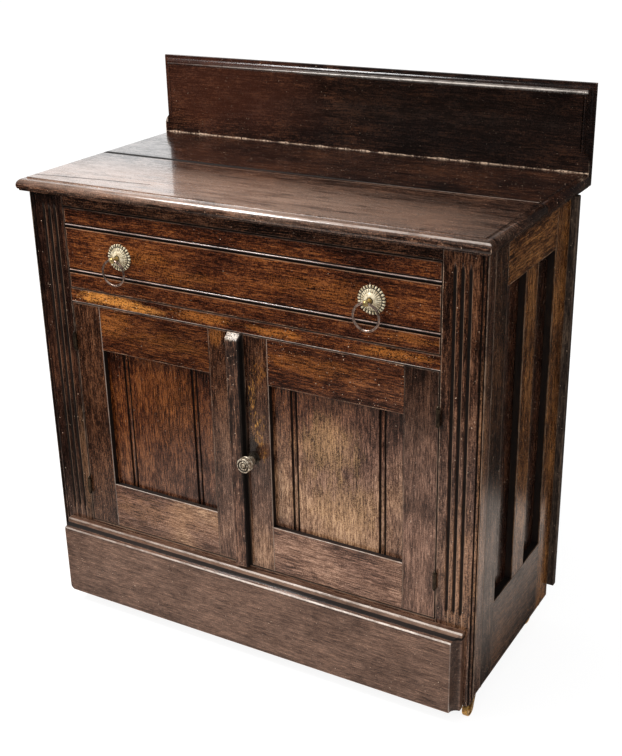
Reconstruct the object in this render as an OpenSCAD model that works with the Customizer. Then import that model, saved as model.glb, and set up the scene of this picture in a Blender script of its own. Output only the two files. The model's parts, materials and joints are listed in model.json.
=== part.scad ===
// Washstand commode: a case on casters with one long drawer over a pair of panelled doors.
// Millimetres, +Z up, front faces -Y, X = 0 halfway along the case, Z = 0 on the floor.

/* [Case] */
// Width of the case over its sides
case_w = 830; // [720:1:1000]
// Height of the case, from its underside to the underside of the top
case_h = 741; // [700:1:860]
// Depth of the case, from its front face to the back of its sides
case_d = 337; // [300:1:420]
// Thickness of the side frames
side_th = 22; // [20:1:26]

/* [Front frame] */
// Width of each front post
post_w = 70; // [64:1:90]
// Thickness of the posts and of the rails between them
frame_th = 25; // [22:1:30]
// Height of the rail under the top
top_rail_h = 22; // [16:1:40]
// Height of the drawer opening
drawer_open_h = 143; // [120:1:180]
// Height of the rail between drawer and doors
drawer_rail_h = 24; // [18:1:40]
// Depth of the rail between drawer and doors
drawer_rail_d = 55; // [40:1:90]
// Height of the rail behind the plinth
foot_rail_h = 90; // [60:1:110]
// Height of the cupboard sill above the underside of the case
sill_h = 125; // [112:1:150]
// Length of the tenons
tenon_l = 24; // [14:1:28]
// Thickness of the tenons between the posts
tenon_th = 8; // [6:1:10]

/* [Flutes and beads] */
// Number of flutes in each post
flute_count = 3; // [1:1:4]
// Width of a flute
flute_w = 6.5; // [4:0.5:9]
// Depth of a flute
flute_depth = 3; // [2:0.25:3.25]
// Distance from one flute to the next
flute_pitch = 12; // [10:0.5:14]
// Distance from the post's inner edge to its first flute
flute_start = 18.5; // [10:0.5:24]
// Height of the flutes' feet above the underside of the case
flute_foot = 138; // [60:1:200]
// Distance from the flutes' heads to the underside of the top
flute_head = 20; // [10:1:60]
// Length over which a flute runs out
flute_taper = 12; // [6:1:20]
// Width of the fine beads on posts and drawer front
bead_w = 4; // [3:0.5:5]
// Width of the quirk on each side of a fine bead
quirk_w = 2.5; // [1.5:0.5:4]
// Depth of the quirks
quirk_depth = 2.5; // [2:0.25:4]
// Distance from a post's outer edge to its bead
post_bead_inset = 6; // [5:0.5:8]
// Distance that a post's foot reaches below the underside of the case
foot_drop = 23; // [10:1:23]
// Width of that foot
foot_w = 30; // [20:1:36]
// Depth of the foot, front to back
foot_d = 12; // [8:1:16]
// Width of the slope at the foot's outer corner
foot_slope = 8.5; // [5:0.5:15]

/* [Sides] */
// Width of the stile behind the front post
side_stile_w = 48.5; // [42:0.5:60]
// Width of the rear stile
rear_stile_w = 59; // [45:1:70]
// Height of the upper rail
side_top_rail_h = 71; // [50:1:90]
// Height of the lower rail
side_foot_rail_h = 137; // [100:1:160]
// Width of the muntin between the two panels
muntin_w = 51; // [40:1:60]
// Wood left beside a rail's tenon, above and below
rail_shoulder = 15; // [12:1:20]
// Wood left beside the muntin's tenons
muntin_shoulder = 12; // [8:1:15]
// Length of the muntin's tenons
muntin_tenon_l = 10; // [8:0.5:12]
// Depth of the panels behind the face of the frame
side_recess = 13; // [9:0.5:13]
// Thickness of the panels
side_panel_th = 6; // [4:0.5:6]
// Depth to which a panel's edge sits in its groove
groove_hold = 7; // [4:0.5:9]
// Room left beyond a panel's edge, for the wood to move
groove_room = 0.8; // [0.4:0.1:2]

/* [Back] */
// Thickness of the back boards
back_th = 15; // [8:1:20]
// Distance that the back boards reach past each side
back_lap = 12; // [0:1:20]
// Number of back boards
back_count = 6; // [3:1:8]
// Height of the back boards' feet above the underside of the case
back_lift = 22; // [0:1:60]
// Rounding of the outer boards' edge
back_round = 5; // [2:0.5:7]
// Gap between two back boards
back_gap = 0.6; // [0.4:0.1:2]

/* [Top] */
// Thickness of the top
top_th = 22; // [18:1:30]
// Distance that the nosing reaches past each side of the case
top_side_reach = 10; // [4:1:30]
// Distance that the nosing reaches past the front of the case
top_front_reach = 21; // [15:1:40]
// Distance that the top reaches past the back boards, for a skirting board
top_back_reach = 48; // [20:1:70]
// Width of the rear board of the top
rear_board_w = 200; // [120:1:240]
// Radius of the nosing's round
nose_r = 11; // [8:0.5:12]
// Width of the quirk between the nosing's round and the flat of the top
nose_quirk_w = 3; // [1:0.5:6]
// Depth of that quirk
nose_quirk_depth = 2; // [1:0.25:4]
// Height of the fillet under the nosing's round
nose_fillet_h = 3; // [2:0.5:4]
// Distance that the fillet stands back from the nosing
nose_fillet_back = 3.5; // [1:0.5:6]

/* [Splashback] */
// Width of the splashback
splash_w = 841; // [700:1:1020]
// Height of the splashback, from the underside of the top
splash_h = 165; // [120:1:220]
// Thickness of the splashback
splash_th = 18; // [16:1:25]
// Radius of the hollow along its edges
hollow_r = 11; // [8:0.5:13]
// Width of the flat step inside the hollow
hollow_step_w = 6; // [4:0.5:10]
// Depth of that step
hollow_step_depth = 2.2; // [1:0.2:4]
// Radius of the bead that lies in the step
hollow_bead_r = 1.4; // [0.8:0.1:1.8]
// Height above the top at which the hollows of the ends stop
hollow_stop = 14; // [6:1:60]
// Radius of the curved stop at the foot of those hollows
tongue_r = 22; // [17:1:30]

/* [Plinth] */
// Width of the plinth board
plinth_w = 794; // [680:1:960]
// Thickness of the plinth board
plinth_th = 25; // [20:1:30]
// Height of the plinth board
plinth_h = 147; // [120:1:150]
// Distance that it reaches below the underside of the case
plinth_drop = 27; // [10:1:34]
// Radius of the hollow along its top and its right end
plinth_hollow_r = 13.5; // [8:0.5:18]
// Radius to which its lower left corner is worn
plinth_worn_r = 9; // [4:0.5:12]

/* [Doors] */
// Thickness of the doors
door_th = 20; // [20:1:25]
// Gap above the doors and beside their hinges
door_gap = 1.5; // [1:0.25:3]
// Gap under the doors
door_foot_gap = 2; // [1:0.5:4]
// Gap where the doors meet
meet_gap = 1.5; // [1.25:0.25:3]
// Place of that gap, right of the case's middle
meet_x = 1.75; // [-20:0.25:20]
// Width of each hinge stile
hinge_stile_w = 57; // [45:1:70]
// Width of the left door's meeting stile, which carries the closing bead
bead_stile_w = 66; // [50:1:80]
// Width of the right door's meeting stile, which carries the knob
knob_stile_w = 45; // [40:1:70]
// Height of the doors' upper rails
door_top_rail_h = 80; // [50:1:100]
// Height of the doors' lower rails
door_foot_rail_h = 85; // [60:1:110]
// Depth of the door panels behind the doors' faces
door_recess = 10; // [5:0.5:11]
// Thickness of the door panels
door_panel_th = 7; // [5:0.5:8]
// Distance from a panel's visible edge to its bead
panel_bead_inset = 40; // [25:1:70]
// Width of the bead on the door panels
panel_bead_w = 6; // [4:0.5:8]
// Width of the quirk on each side of that bead
panel_quirk_w = 3.5; // [3:0.5:7]
// Depth of those quirks
panel_quirk_depth = 3.5; // [3:0.25:4]
// Width of the closing bead
closing_w = 26; // [18:1:40]
// Thickness of the closing bead
closing_th = 12; // [8:1:16]
// Rounding of the closing bead's edges
closing_round = 3; // [1:0.5:5]
// Height of the slope worn into the closing bead's upper end
closing_slope = 9; // [1:0.5:15]
// Thickness left at the top of that slope
closing_lip = 2; // [1:0.5:4]

/* [Hinges] */
// Length of a hinge's barrel
barrel_l = 27; // [24:1:50]
// Radius of a hinge's barrel
barrel_r = 3.3; // [2.8:0.1:4]
// Radius of a hinge pin
hinge_pin_r = 1.5; // [1.2:0.1:2]
// Radial play of a hinge pin in the moving leaf
pin_play = 0.05; // [0.03:0.01:0.1]
// Radius of the balls on a hinge pin's ends
finial_r = 2.5; // [2.2:0.1:3]
// Thickness of a hinge leaf
leaf_th = 1.5; // [1:0.1:2]
// Depth to which a leaf is let in behind the face of the door
leaf_w = 14; // [10:1:17]
// Distance from a door's top or foot to the middle of its hinge
hinge_inset = 71; // [40:1:120]
// Gap between two knuckles
knuckle_gap = 0.2; // [0.1:0.05:0.4]

/* [Cupboard turn] */
// Height of the knob above the sill
knob_h = 210; // [150:1:300]
// Distance from the right door's free edge to the knob
knob_inset = 13; // [13:0.5:20]
// Radius of the knob's face
knob_r = 13; // [12:0.5:13.5]
// Height of the drum at the knob's head
drum_h = 12; // [9:0.5:14]
// Radius of the knob's neck
knob_neck_r = 8; // [6.5:0.5:9]
// Radius of the rose at its foot
knob_rose_r = 11; // [10.5:0.5:12]
// Length of the knob, from the door to its face
knob_l = 35; // [30:1:45]
// Radius of the turn's spindle
spindle_r = 3.5; // [2.5:0.5:5]
// Length of the tongue, from the spindle's axis
tongue_l = 36; // [28:1:50]
// Width of the tongue
tongue_w = 14; // [12:1:18]
// Thickness of the tongue
tongue_th = 3; // [2:0.5:4]
// Gap between the tongue and the backs of the doors
tongue_gap = 0.4; // [0.3:0.1:1]

/* [Drawer] */
// Thickness of the drawer front
drawer_front_th = 22; // [18:1:26]
// Gap around the drawer front
drawer_gap = 1.5; // [1:0.25:3]
// Depth of the drawer, front and back included
drawer_d = 300; // [240:1:310]
// Thickness of the drawer's sides and back
drawer_side_th = 12; // [10:1:16]
// Thickness of the drawer's bottom
drawer_bottom_th = 6; // [4:0.5:8]
// Height of the drawer bottom above the drawer's foot
drawer_bottom_lift = 10; // [8:1:16]
// Distance by which the drawer's sides stay below the kickers
drawer_side_drop = 4; // [2:1:20]
// Distance from the drawer front's edges to its beads
drawer_bead_inset = 30.5; // [15:0.5:45]
// Number of dovetails at each corner of the drawer
tail_count = 3; // [2:1:4]
// Thickness of the dovetails' pins at their narrow end
pin_w = 5; // [3:0.5:8]
// Slope of the dovetails, in degrees
tail_slope = 9; // [6:1:12]
// Wood left in front of the dovetails in the drawer front
tail_lap = 6; // [5:0.5:8]
// Width of the runners and kickers
runner_w = 62; // [58:1:80]
// Height of the guides that stand on the runners
guide_h = 18; // [10:1:30]

/* [Ring pulls] */
// Distance between the two pulls
pull_span = 466; // [300:1:560]
// Distance of the pulls below the drawer front's middle
pull_drop = 3; // [0:1:20]
// Radius of the rosettes
rosette_r = 23; // [18:0.5:28]
// Height of a rosette's dome above the drawer front
rosette_h = 7; // [5:0.5:9]
// Number of lobes around a rosette's rim
lobe_count = 24; // [16:1:28]
// Radius of a ring, to the middle of its wire
ring_r = 21.5; // [20:0.5:26]
// Radius of a ring's wire
wire_r = 1.9; // [1:0.1:2]
// Distance of a ring's hole from the drawer front
post_reach = 19; // [17:0.5:26]
// Radius of the ball that holds a ring
post_ball_r = 5; // [4.2:0.1:5]
// Play of a ring's wire in its hole
wire_play = 0.7; // [0.65:0.05:0.8]
// Radius of the post's shank through the drawer front
shank_r = 2.5; // [2:0.25:3.5]
// Play around shanks and spindles in the wood
wood_play = 0.3; // [0.1:0.1:0.6]

/* [Casters] */
// Radius of a caster's wheel
wheel_r = 14; // [12:0.5:15]
// Width of a caster's wheel
wheel_w = 10; // [8:0.5:12]
// Distance from the wheel's axle up to the plate's underside
axle_drop = 35; // [33:0.5:45]
// Distance of the axle behind the swivel axis
wheel_trail = 16; // [10:0.5:16]
// Thickness of a caster's plate
plate_th = 3; // [2:0.5:4]
// Radius of a caster's plate
plate_r = 15; // [13:0.5:15.5]
// Radius of the swivel stem
stem_r = 4; // [3:0.25:5]
// Radius of the head that holds the stem in its plate
head_r = 6.5; // [6:0.25:7]
// Depth of the recess above the plate that takes this head
recess_h = 4; // [3:0.5:8]
// Radial play of stems and axles in their bores
bore_play = 0.06; // [0.03:0.01:0.1]
// Radius of the wheel's axle
axle_r = 2; // [1.5:0.25:2.5]
// Thickness of the fork's cheeks
cheek_th = 2; // [1.5:0.25:3]
// Gap between the wheel and each cheek
cheek_gap = 0.5; // [0.3:0.1:1]
// Distance from the case's side to a swivel axis
caster_in_x = 16; // [16:1:30]
// Distance from the case's front or the sides' rear edges to a swivel axis
caster_in_y = 34; // [34:0.5:40]
// Direction in which the front wheels stand, turned forwards from the case's side
front_turn = 90; // [0:5:180]
// Direction in which the rear wheels stand, turned backwards from the case's side
rear_turn = 180; // [0:5:180]
// Gap between the fork's crown and the plate
crown_gap = 0.3; // [0.2:0.05:0.5]
// Width of the corner blocks
block_w = 56; // [50:1:62]
// Height of the corner blocks
block_h = 42; // [36:1:52]

/* [Hidden] */
$fn = 64;

// Overrun of a cutting tool past the surface that it cuts
over = 1;
half_w = case_w / 2;
case_z0 = wheel_r + axle_drop + plate_th;
case_z1 = case_z0 + case_h;
top_z = case_z1 + top_th;
open_x = half_w - post_w;
sill_z = case_z0 + sill_h;
drawer_z1 = case_z1 - top_rail_h;
drawer_z0 = drawer_z1 - drawer_open_h;
door_open_z1 = drawer_z0 - drawer_rail_h;
inner_x = half_w - side_th;
back_y = case_d + back_th;

// Top and splashback
top_half = half_w + top_side_reach;
top_y0 = -top_front_reach;
top_y1 = back_y + top_back_reach;
seam_y = top_y1 - rear_board_w;
splash_half = splash_w / 2;
splash_z1 = case_z1 + splash_h;
hollow_w = hollow_r + hollow_step_w;

// Side frames
side_y0 = frame_th;
side_open_y0 = side_y0 + side_stile_w;
side_open_y1 = case_d - rear_stile_w;
side_open_z0 = case_z0 + side_foot_rail_h;
side_open_z1 = case_z1 - side_top_rail_h;
muntin_y0 = (side_open_y0 + side_open_y1 - muntin_w) / 2;
muntin_y1 = muntin_y0 + muntin_w;
side_panel_x1 = half_w - side_recess;
side_panel_x0 = side_panel_x1 - side_panel_th;

// Doors
door_z0 = sill_z + door_foot_gap;
door_z1 = door_open_z1 - door_gap;
left_x0 = -open_x + door_gap;
left_x1 = meet_x - meet_gap / 2;
right_x0 = meet_x + meet_gap / 2;
right_x1 = open_x - door_gap;
door_panel_z0 = door_z0 + door_foot_rail_h;
door_panel_z1 = door_z1 - door_top_rail_h;

// Hinges, cupboard turn, drawer
hinge_x = open_x - door_gap / 2;
hinge_y = -barrel_r - 0.3;
hinge_z = [door_z0 + hinge_inset, door_z1 - hinge_inset];
knuckle_l = barrel_l / 3;
knob_x = right_x0 + knob_inset;
knob_z = sill_z + knob_h;
drawer_half = open_x - drawer_gap;
drawer_foot = drawer_z0;
drawer_head = drawer_z1 - drawer_gap;
drawer_front_z0 = drawer_z0 + drawer_gap;
drawer_side_z1 = drawer_z1 - drawer_side_drop;
bottom_z0 = drawer_foot + drawer_bottom_lift;
bottom_hold = drawer_side_th / 2;
back_z0 = bottom_z0 + drawer_bottom_th;
back_z1 = drawer_side_z1 - drawer_side_drop;
pull_x = pull_span / 2;
pull_z = (drawer_front_z0 + drawer_head) / 2 - pull_drop;
post_hole_r = wire_r + wire_play;
collar_r = 4.2;

// The model's middle, front to back, comes to Y = 0
front_reach = max(knob_l, top_front_reach, plinth_th, post_reach + post_ball_r);
mid_y = (top_y1 + splash_th - front_reach) / 2;

// Casters
caster_x = half_w - caster_in_x;
caster_y0 = caster_in_y;
caster_y1 = case_d - caster_in_y;
cheek_x = wheel_w / 2 + cheek_gap;
crown_z1 = case_z0 - plate_th - crown_gap;
crown_th = 3;
cheek_r = 5;
// How far the cheeks reach past the swivel axis where they meet the crown, towards the wheel and away
neck_front = 7;
neck_back = 5;

// Colours
mahogany = [0.24, 0.09, 0.05];
mahogany_light = [0.34, 0.14, 0.07];
mahogany_dark = [0.15, 0.06, 0.04];
secondary = [0.55, 0.38, 0.22];
brass = [0.62, 0.50, 0.30];
steel = [0.35, 0.33, 0.31];

// A block between two opposite corners
module block(a, b) { translate(a) cube(b - a); }

// A flat outline in (Y, Z), run along X
module run_x(x0, x1) { translate([x0, 0, 0]) rotate([90, 0, 90]) linear_extrude(x1 - x0) children(); }

// A flat outline in (X, Z), run along Y
module run_y(y0, y1) { translate([0, y1, 0]) rotate([90, 0, 0]) linear_extrude(y1 - y0) children(); }

// A flat outline in (X, Y), run along Z
module run_z(z0, z1) { translate([0, 0, z0]) linear_extrude(z1 - z0) children(); }

// A piece at its place, with the model's middle at Y = 0
module placed() { translate([0, -mid_y, 0]) children(); }

// The same thing on the left and on the right
module both_sides() { children(); mirror([1, 0, 0]) children(); }

// Section of a bead between two quirks, cut into a face at 0; +Y goes into the wood
module bead_cut(bead, quirk, depth) {
  difference() {
    translate([-bead / 2 - quirk, -over]) square([bead + 2 * quirk, depth + over]);
    translate([0, bead / 2]) circle(d = bead);
    translate([-bead / 2, bead / 2]) square([bead, depth]);
  }
}

// Section of the top along one edge; the nosing's tip is at 0, +X goes into the wood
module nose_section(length) {
  difference() {
    union() {
      translate([nose_r + nose_quirk_w, 0]) square([length - nose_r - nose_quirk_w, top_th]);
      translate([nose_fillet_back, 0]) square([length - nose_fillet_back, nose_fillet_h + over]);
      translate([nose_r, top_th - nose_quirk_depth - nose_r]) circle(r = nose_r);
      translate([nose_r, 0]) square([nose_quirk_w + over, top_th - nose_quirk_depth]);
    }
    translate([-over, -nose_r]) square([2 * nose_r, nose_r]);
    translate([-over, 0]) square([nose_fillet_back + over, nose_fillet_h]);
  }
}

// The whole top before it is split into two boards
module top_slab() {
  intersection() {
    run_x(-top_half, top_half) translate([top_y0, case_z1]) nose_section(top_y1 - top_y0);
    run_y(top_y0 - over, top_y1 + over) translate([0, case_z1]) union() {
      translate([-top_half, 0]) nose_section(top_half + over);
      mirror([1, 0]) translate([-top_half, 0]) nose_section(top_half + over);
    }
  }
}

module top_front_board() {
  color(mahogany_dark) intersection() {
    top_slab();
    block([-top_half - over, top_y0 - over, case_z1 - over], [top_half + over, seam_y, top_z + over]);
  }
}

module top_rear_board() {
  color(mahogany_dark) intersection() {
    top_slab();
    block([-top_half - over, seam_y, case_z1 - over], [top_half + over, top_y1 + over, top_z + over]);
  }
}

// Section of the wood taken off an edge by the hollow; +X goes inwards, +Y into the thickness
module hollow_cut() {
  difference() {
    union() {
      circle(r = hollow_r);
      translate([-over, -over]) square([hollow_w + over, hollow_step_depth + over]);
    }
    translate([hollow_r + hollow_step_w / 2, hollow_step_depth]) circle(r = hollow_bead_r);
  }
}

module splashback() {
  stop_z = top_z + hollow_stop;
  color(mahogany_dark) difference() {
    block([-splash_half, top_y1, case_z1], [splash_half, top_y1 + splash_th, splash_z1]);
    run_x(-splash_half - over, splash_half + over)
      translate([top_y1, splash_z1]) rotate(-90) hollow_cut();
    both_sides() difference() {
      run_z(stop_z, splash_z1 + over) translate([splash_half, top_y1]) mirror([1, 0]) hollow_cut();
      translate([splash_half - tongue_r, top_y1 - 2 * over, stop_z]) rotate([-90, 0, 0])
        cylinder(r = tongue_r, h = hollow_r + 4 * over);
    }
  }
}

// One flute, as a round tool with pointed ends, standing on the post's face
module flute(x) {
  tool_r = (flute_w * flute_w / 4 + flute_depth * flute_depth) / (2 * flute_depth);
  z0 = case_z0 + flute_foot;
  z1 = case_z1 - flute_head;
  translate([x, flute_depth - tool_r, 0]) {
    translate([0, 0, z0 + flute_taper]) cylinder(r = tool_r, h = z1 - z0 - 2 * flute_taper);
    translate([0, 0, z0]) cylinder(r1 = 0.2, r2 = tool_r, h = flute_taper);
    translate([0, 0, z1 - flute_taper]) cylinder(r1 = tool_r, r2 = 0.2, h = flute_taper);
  }
}

// Recess for the heads of the right-hand casters, cut into all the wood above their plates
module caster_recesses() {
  for (y = [caster_y0, caster_y1])
    translate([caster_x, y, case_z0 - over]) cylinder(r = head_r + 1, h = recess_h + over);
}

// Tenons of the rails between the posts, at the right-hand end
module frame_tenons(play = 0) {
  y0 = (frame_th - tenon_th) / 2 - play;
  y1 = (frame_th + tenon_th) / 2 + play;
  x1 = open_x + tenon_l + play;
  block([open_x - play, y0, drawer_z1 + 3 - play], [x1, y1, case_z1 - 5 + play]);
  block([open_x - play, y0, door_open_z1 + 3 - play], [x1, y1, drawer_z0 - 3 + play]);
  block([open_x - play, y0, sill_z - foot_rail_h + 12 - play], [x1, y1, sill_z - 12 + play]);
}

module front_post() {
  foot_z0 = case_z0 - foot_drop;
  difference() {
    union() {
      block([open_x, 0, case_z0], [half_w, frame_th, case_z1]);
      run_y(0, foot_d) polygon([[half_w - foot_w, case_z0 + 1], [half_w - foot_w, foot_z0],
        [half_w - foot_slope, foot_z0], [half_w, case_z0], [half_w, case_z0 + 1]]);
    }
    for (k = [0 : flute_count - 1]) flute(open_x + flute_start + k * flute_pitch);
    run_z(foot_z0 - over, case_z1 + over) translate([half_w - post_bead_inset, 0])
      bead_cut(bead_w, quirk_w, quirk_depth);
    frame_tenons(0.2);
    caster_recesses();
    for (z = hinge_z) block([open_x - over, -over, z - barrel_l / 2], [open_x + leaf_th, leaf_w, z + barrel_l / 2]);
  }
}

module right_front_post() { color(mahogany) front_post(); }
module left_front_post() { color(mahogany) mirror([1, 0, 0]) front_post(); }

// A rail between the posts with its two tenons
module frame_rail(z0, z1, depth) {
  color(mahogany) {
    block([-open_x, 0, z0], [open_x, depth, z1]);
    both_sides() intersection() {
      frame_tenons();
      block([open_x - over, -over, z0], [half_w, frame_th, z1]);
    }
  }
}

module top_rail() { frame_rail(drawer_z1, case_z1, frame_th); }
module drawer_rail() { frame_rail(door_open_z1, drawer_z0, drawer_rail_d); }
module foot_rail() { frame_rail(sill_z - foot_rail_h, sill_z, frame_th); }

module plinth_board() {
  z0 = case_z0 - plinth_drop;
  z1 = z0 + plinth_h;
  half = plinth_w / 2;
  color(mahogany) difference() {
    run_y(-plinth_th, 0) {
      translate([plinth_worn_r - half, z0]) square([2 * half - plinth_worn_r, plinth_h]);
      translate([-half, z0 + plinth_worn_r]) square([2 * half, plinth_h - plinth_worn_r]);
      translate([plinth_worn_r - half, z0 + plinth_worn_r]) circle(r = plinth_worn_r);
    }
    run_x(-half - over, half + over) translate([-plinth_th, z1]) circle(r = plinth_hollow_r);
    run_z(z0 - over, z1 + over) translate([half, -plinth_th]) circle(r = plinth_hollow_r);
  }
}

// Tenons of a side frame's rails, in line with the panels
module side_tenons(play = 0) {
  for (z = [[case_z0 + rail_shoulder, side_open_z0 - rail_shoulder],
    [side_open_z1 + rail_shoulder, case_z1 - rail_shoulder]])
    block([side_panel_x0 - play, side_open_y0 - tenon_l - play, z[0] - play],
      [side_panel_x1 + play, side_open_y1 + tenon_l + play, z[1] + play]);
}

// Stub tenons of a side frame's muntin, between the two grooves
module muntin_tenons(play = 0) {
  block([side_panel_x0 - play, muntin_y0 + muntin_shoulder - play, side_open_z0 - muntin_tenon_l - play],
    [side_panel_x1 + play, muntin_y1 - muntin_shoulder + play, side_open_z1 + muntin_tenon_l + play]);
}

// Groove for the panels, around both openings of a side frame
module side_grooves(hold) {
  for (y = [[side_open_y0, muntin_y0], [muntin_y1, side_open_y1]])
    block([side_panel_x0, y[0] - hold, side_open_z0 - hold], [side_panel_x1, y[1] + hold, side_open_z1 + hold]);
}

module side_stile() {
  difference() {
    block([inner_x, side_y0, case_z0], [half_w, side_open_y0, case_z1]);
    side_grooves(groove_hold + groove_room);
    side_tenons(0.2);
    caster_recesses();
  }
}

module rear_stile() {
  difference() {
    block([inner_x, side_open_y1, case_z0], [half_w, case_d, case_z1]);
    side_grooves(groove_hold + groove_room);
    side_tenons(0.2);
    caster_recesses();
  }
}

// One rail of a side frame with its tenons
module side_rail(z0, z1) {
  difference() {
    union() {
      block([inner_x, side_open_y0, z0], [half_w, side_open_y1, z1]);
      intersection() {
        side_tenons();
        block([inner_x, side_y0, z0], [half_w, case_d, z1]);
      }
    }
    side_grooves(groove_hold + groove_room);
    muntin_tenons(0.2);
  }
}

module side_top_rail() { side_rail(side_open_z1, case_z1); }
module side_foot_rail() { side_rail(case_z0, side_open_z0); }

module side_muntin() {
  difference() {
    block([inner_x, muntin_y0, side_open_z0], [half_w, muntin_y1, side_open_z1]);
    side_grooves(groove_hold + groove_room);
  }
  muntin_tenons();
}

module side_panels() { side_grooves(groove_hold); }

module right_side_stile() { color(mahogany) side_stile(); }
module left_side_stile() { color(mahogany) mirror([1, 0, 0]) side_stile(); }
module right_rear_stile() { color(mahogany) rear_stile(); }
module left_rear_stile() { color(mahogany) mirror([1, 0, 0]) rear_stile(); }
module right_side_top_rail() { color(mahogany_light) side_top_rail(); }
module left_side_top_rail() { color(mahogany_light) mirror([1, 0, 0]) side_top_rail(); }
module right_side_foot_rail() { color(mahogany_light) side_foot_rail(); }
module left_side_foot_rail() { color(mahogany_light) mirror([1, 0, 0]) side_foot_rail(); }
module right_side_muntin() { color(mahogany_light) side_muntin(); }
module left_side_muntin() { color(mahogany_light) mirror([1, 0, 0]) side_muntin(); }
module right_side_panels() { color(mahogany_light) side_panels(); }
module left_side_panels() { color(mahogany_light) mirror([1, 0, 0]) side_panels(); }

module back_boards() {
  half = half_w + back_lap;
  pitch = 2 * half / back_count;
  z0 = case_z0 + back_lift;
  color(mahogany_dark) difference() {
    for (k = [0 : back_count - 1])
      block([-half + k * pitch + (k > 0 ? back_gap / 2 : 0), case_d, z0],
        [-half + (k + 1) * pitch - (k < back_count - 1 ? back_gap / 2 : 0), back_y, case_z1]);
    both_sides() run_z(z0 - over, case_z1 + over) translate([half, back_y]) difference() {
      translate([-back_round, -back_round]) square(back_round + over);
      translate([-back_round, -back_round]) circle(r = back_round);
    }
  }
}

module cupboard_floor() {
  floor_th = 15;
  color(secondary) block([-inner_x, frame_th, sill_z - floor_th], [inner_x, case_d, sill_z]);
}

module corner_blocks() {
  color(secondary) both_sides() difference() {
    for (y = [frame_th, case_d - block_w])
      block([inner_x - block_w, y, case_z0], [inner_x, y + block_w, case_z0 + block_h]);
    caster_recesses();
  }
}

// A runner with the guide that keeps the drawer from wandering sideways
module drawer_runners() {
  color(secondary) both_sides() {
    block([inner_x - runner_w, drawer_rail_d, door_open_z1], [inner_x, case_d, drawer_z0]);
    block([open_x, drawer_rail_d, drawer_z0], [inner_x, case_d, drawer_z0 + guide_h]);
  }
}

module drawer_kickers() {
  color(secondary) both_sides()
    block([inner_x - runner_w, frame_th, drawer_z1], [inner_x, case_d, case_z1]);
}

// Dovetails between two heights, from their root at y0 to their wide end at y1, outlined in (Y, Z)
module tails(y0, y1, z0, z1) {
  pitch = (z1 - z0) / tail_count;
  wide = (pitch - pin_w) / 2;
  root = wide - abs(y1 - y0) * tan(tail_slope);
  for (k = [0 : tail_count - 1]) translate([0, z0 + (k + 0.5) * pitch])
    polygon([[y0, -root], [y1, -wide], [y1, wide], [y0, root]]);
}

// The dovetails of the right-hand drawer side: lapped into the front, through the back
module front_tails() {
  run_x(drawer_half - drawer_side_th, drawer_half)
    tails(drawer_front_th, tail_lap, drawer_front_z0, drawer_side_z1);
}

module back_tails() {
  run_x(drawer_half - drawer_side_th, drawer_half)
    tails(drawer_d - drawer_side_th, drawer_d, back_z0, back_z1);
}

module drawer_front() {
  color(mahogany_light) difference() {
    block([-drawer_half, 0, drawer_front_z0], [drawer_half, drawer_front_th, drawer_head]);
    for (z = [drawer_front_z0 + drawer_bead_inset, drawer_head - drawer_bead_inset])
      run_x(-drawer_half - over, drawer_half + over) translate([0, z]) rotate(-90)
        bead_cut(bead_w, quirk_w, quirk_depth);
    both_sides() translate([pull_x, -over, pull_z]) rotate([-90, 0, 0])
      cylinder(r = shank_r + wood_play, h = drawer_front_th + 2 * over);
    block([-drawer_half + bottom_hold, drawer_front_th - bottom_hold, bottom_z0],
      [drawer_half - bottom_hold, drawer_front_th + over, bottom_z0 + drawer_bottom_th]);
    both_sides() front_tails();
  }
}

module drawer_side() {
  inner = drawer_half - drawer_side_th;
  difference() {
    union() {
      block([inner, drawer_front_th, drawer_foot], [drawer_half, drawer_d, drawer_side_z1]);
      front_tails();
    }
    block([inner - over, drawer_front_th - bottom_hold, bottom_z0],
      [drawer_half - bottom_hold, drawer_d + over, bottom_z0 + drawer_bottom_th]);
    difference() {
      block([inner - over, drawer_d - drawer_side_th, back_z0], [drawer_half + over, drawer_d + over, back_z1]);
      back_tails();
    }
  }
}

module drawer_right_side() { color(secondary) drawer_side(); }
module drawer_left_side() { color(secondary) mirror([1, 0, 0]) drawer_side(); }

module drawer_back() {
  color(secondary) difference() {
    block([-drawer_half, drawer_d - drawer_side_th, back_z0], [drawer_half, drawer_d, back_z1]);
    both_sides() back_tails();
  }
}

module drawer_bottom() {
  half = drawer_half - bottom_hold;
  color(secondary) block([-half, drawer_front_th - bottom_hold, bottom_z0],
    [half, drawer_d, bottom_z0 + drawer_bottom_th]);
}

// A domed rosette with a lobed rim and a ring of beads around its middle
module rosette() {
  rim_h = 2.2;
  rim_r = rosette_r - 2;
  lobe_r = PI * rim_r / lobe_count;
  dome_r = rosette_r * 0.62;
  sphere_r = (dome_r * dome_r + (rosette_h - rim_h) * (rosette_h - rim_h)) / (2 * (rosette_h - rim_h));
  difference() {
    union() {
      cylinder(r = rim_r, h = rim_h);
      for (k = [0 : lobe_count - 1]) rotate(k * 360 / lobe_count) translate([rim_r, 0, 0])
        cylinder(r = min(lobe_r, 2), h = rim_h);
      cylinder(r = dome_r + 2, h = rim_h + 0.9);
      intersection() {
        translate([0, 0, rosette_h - sphere_r]) sphere(r = sphere_r);
        cylinder(r = dome_r, h = rosette_h + over);
      }
      cylinder(r = collar_r + 0.8, h = rosette_h);
    }
    translate([0, 0, -over]) cylinder(r = shank_r + wood_play, h = rosette_h + 2 * over);
  }
}

module pull_rosettes() {
  color(brass) both_sides() translate([pull_x, 0, pull_z]) rotate([90, 0, 0]) rosette();
}

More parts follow.
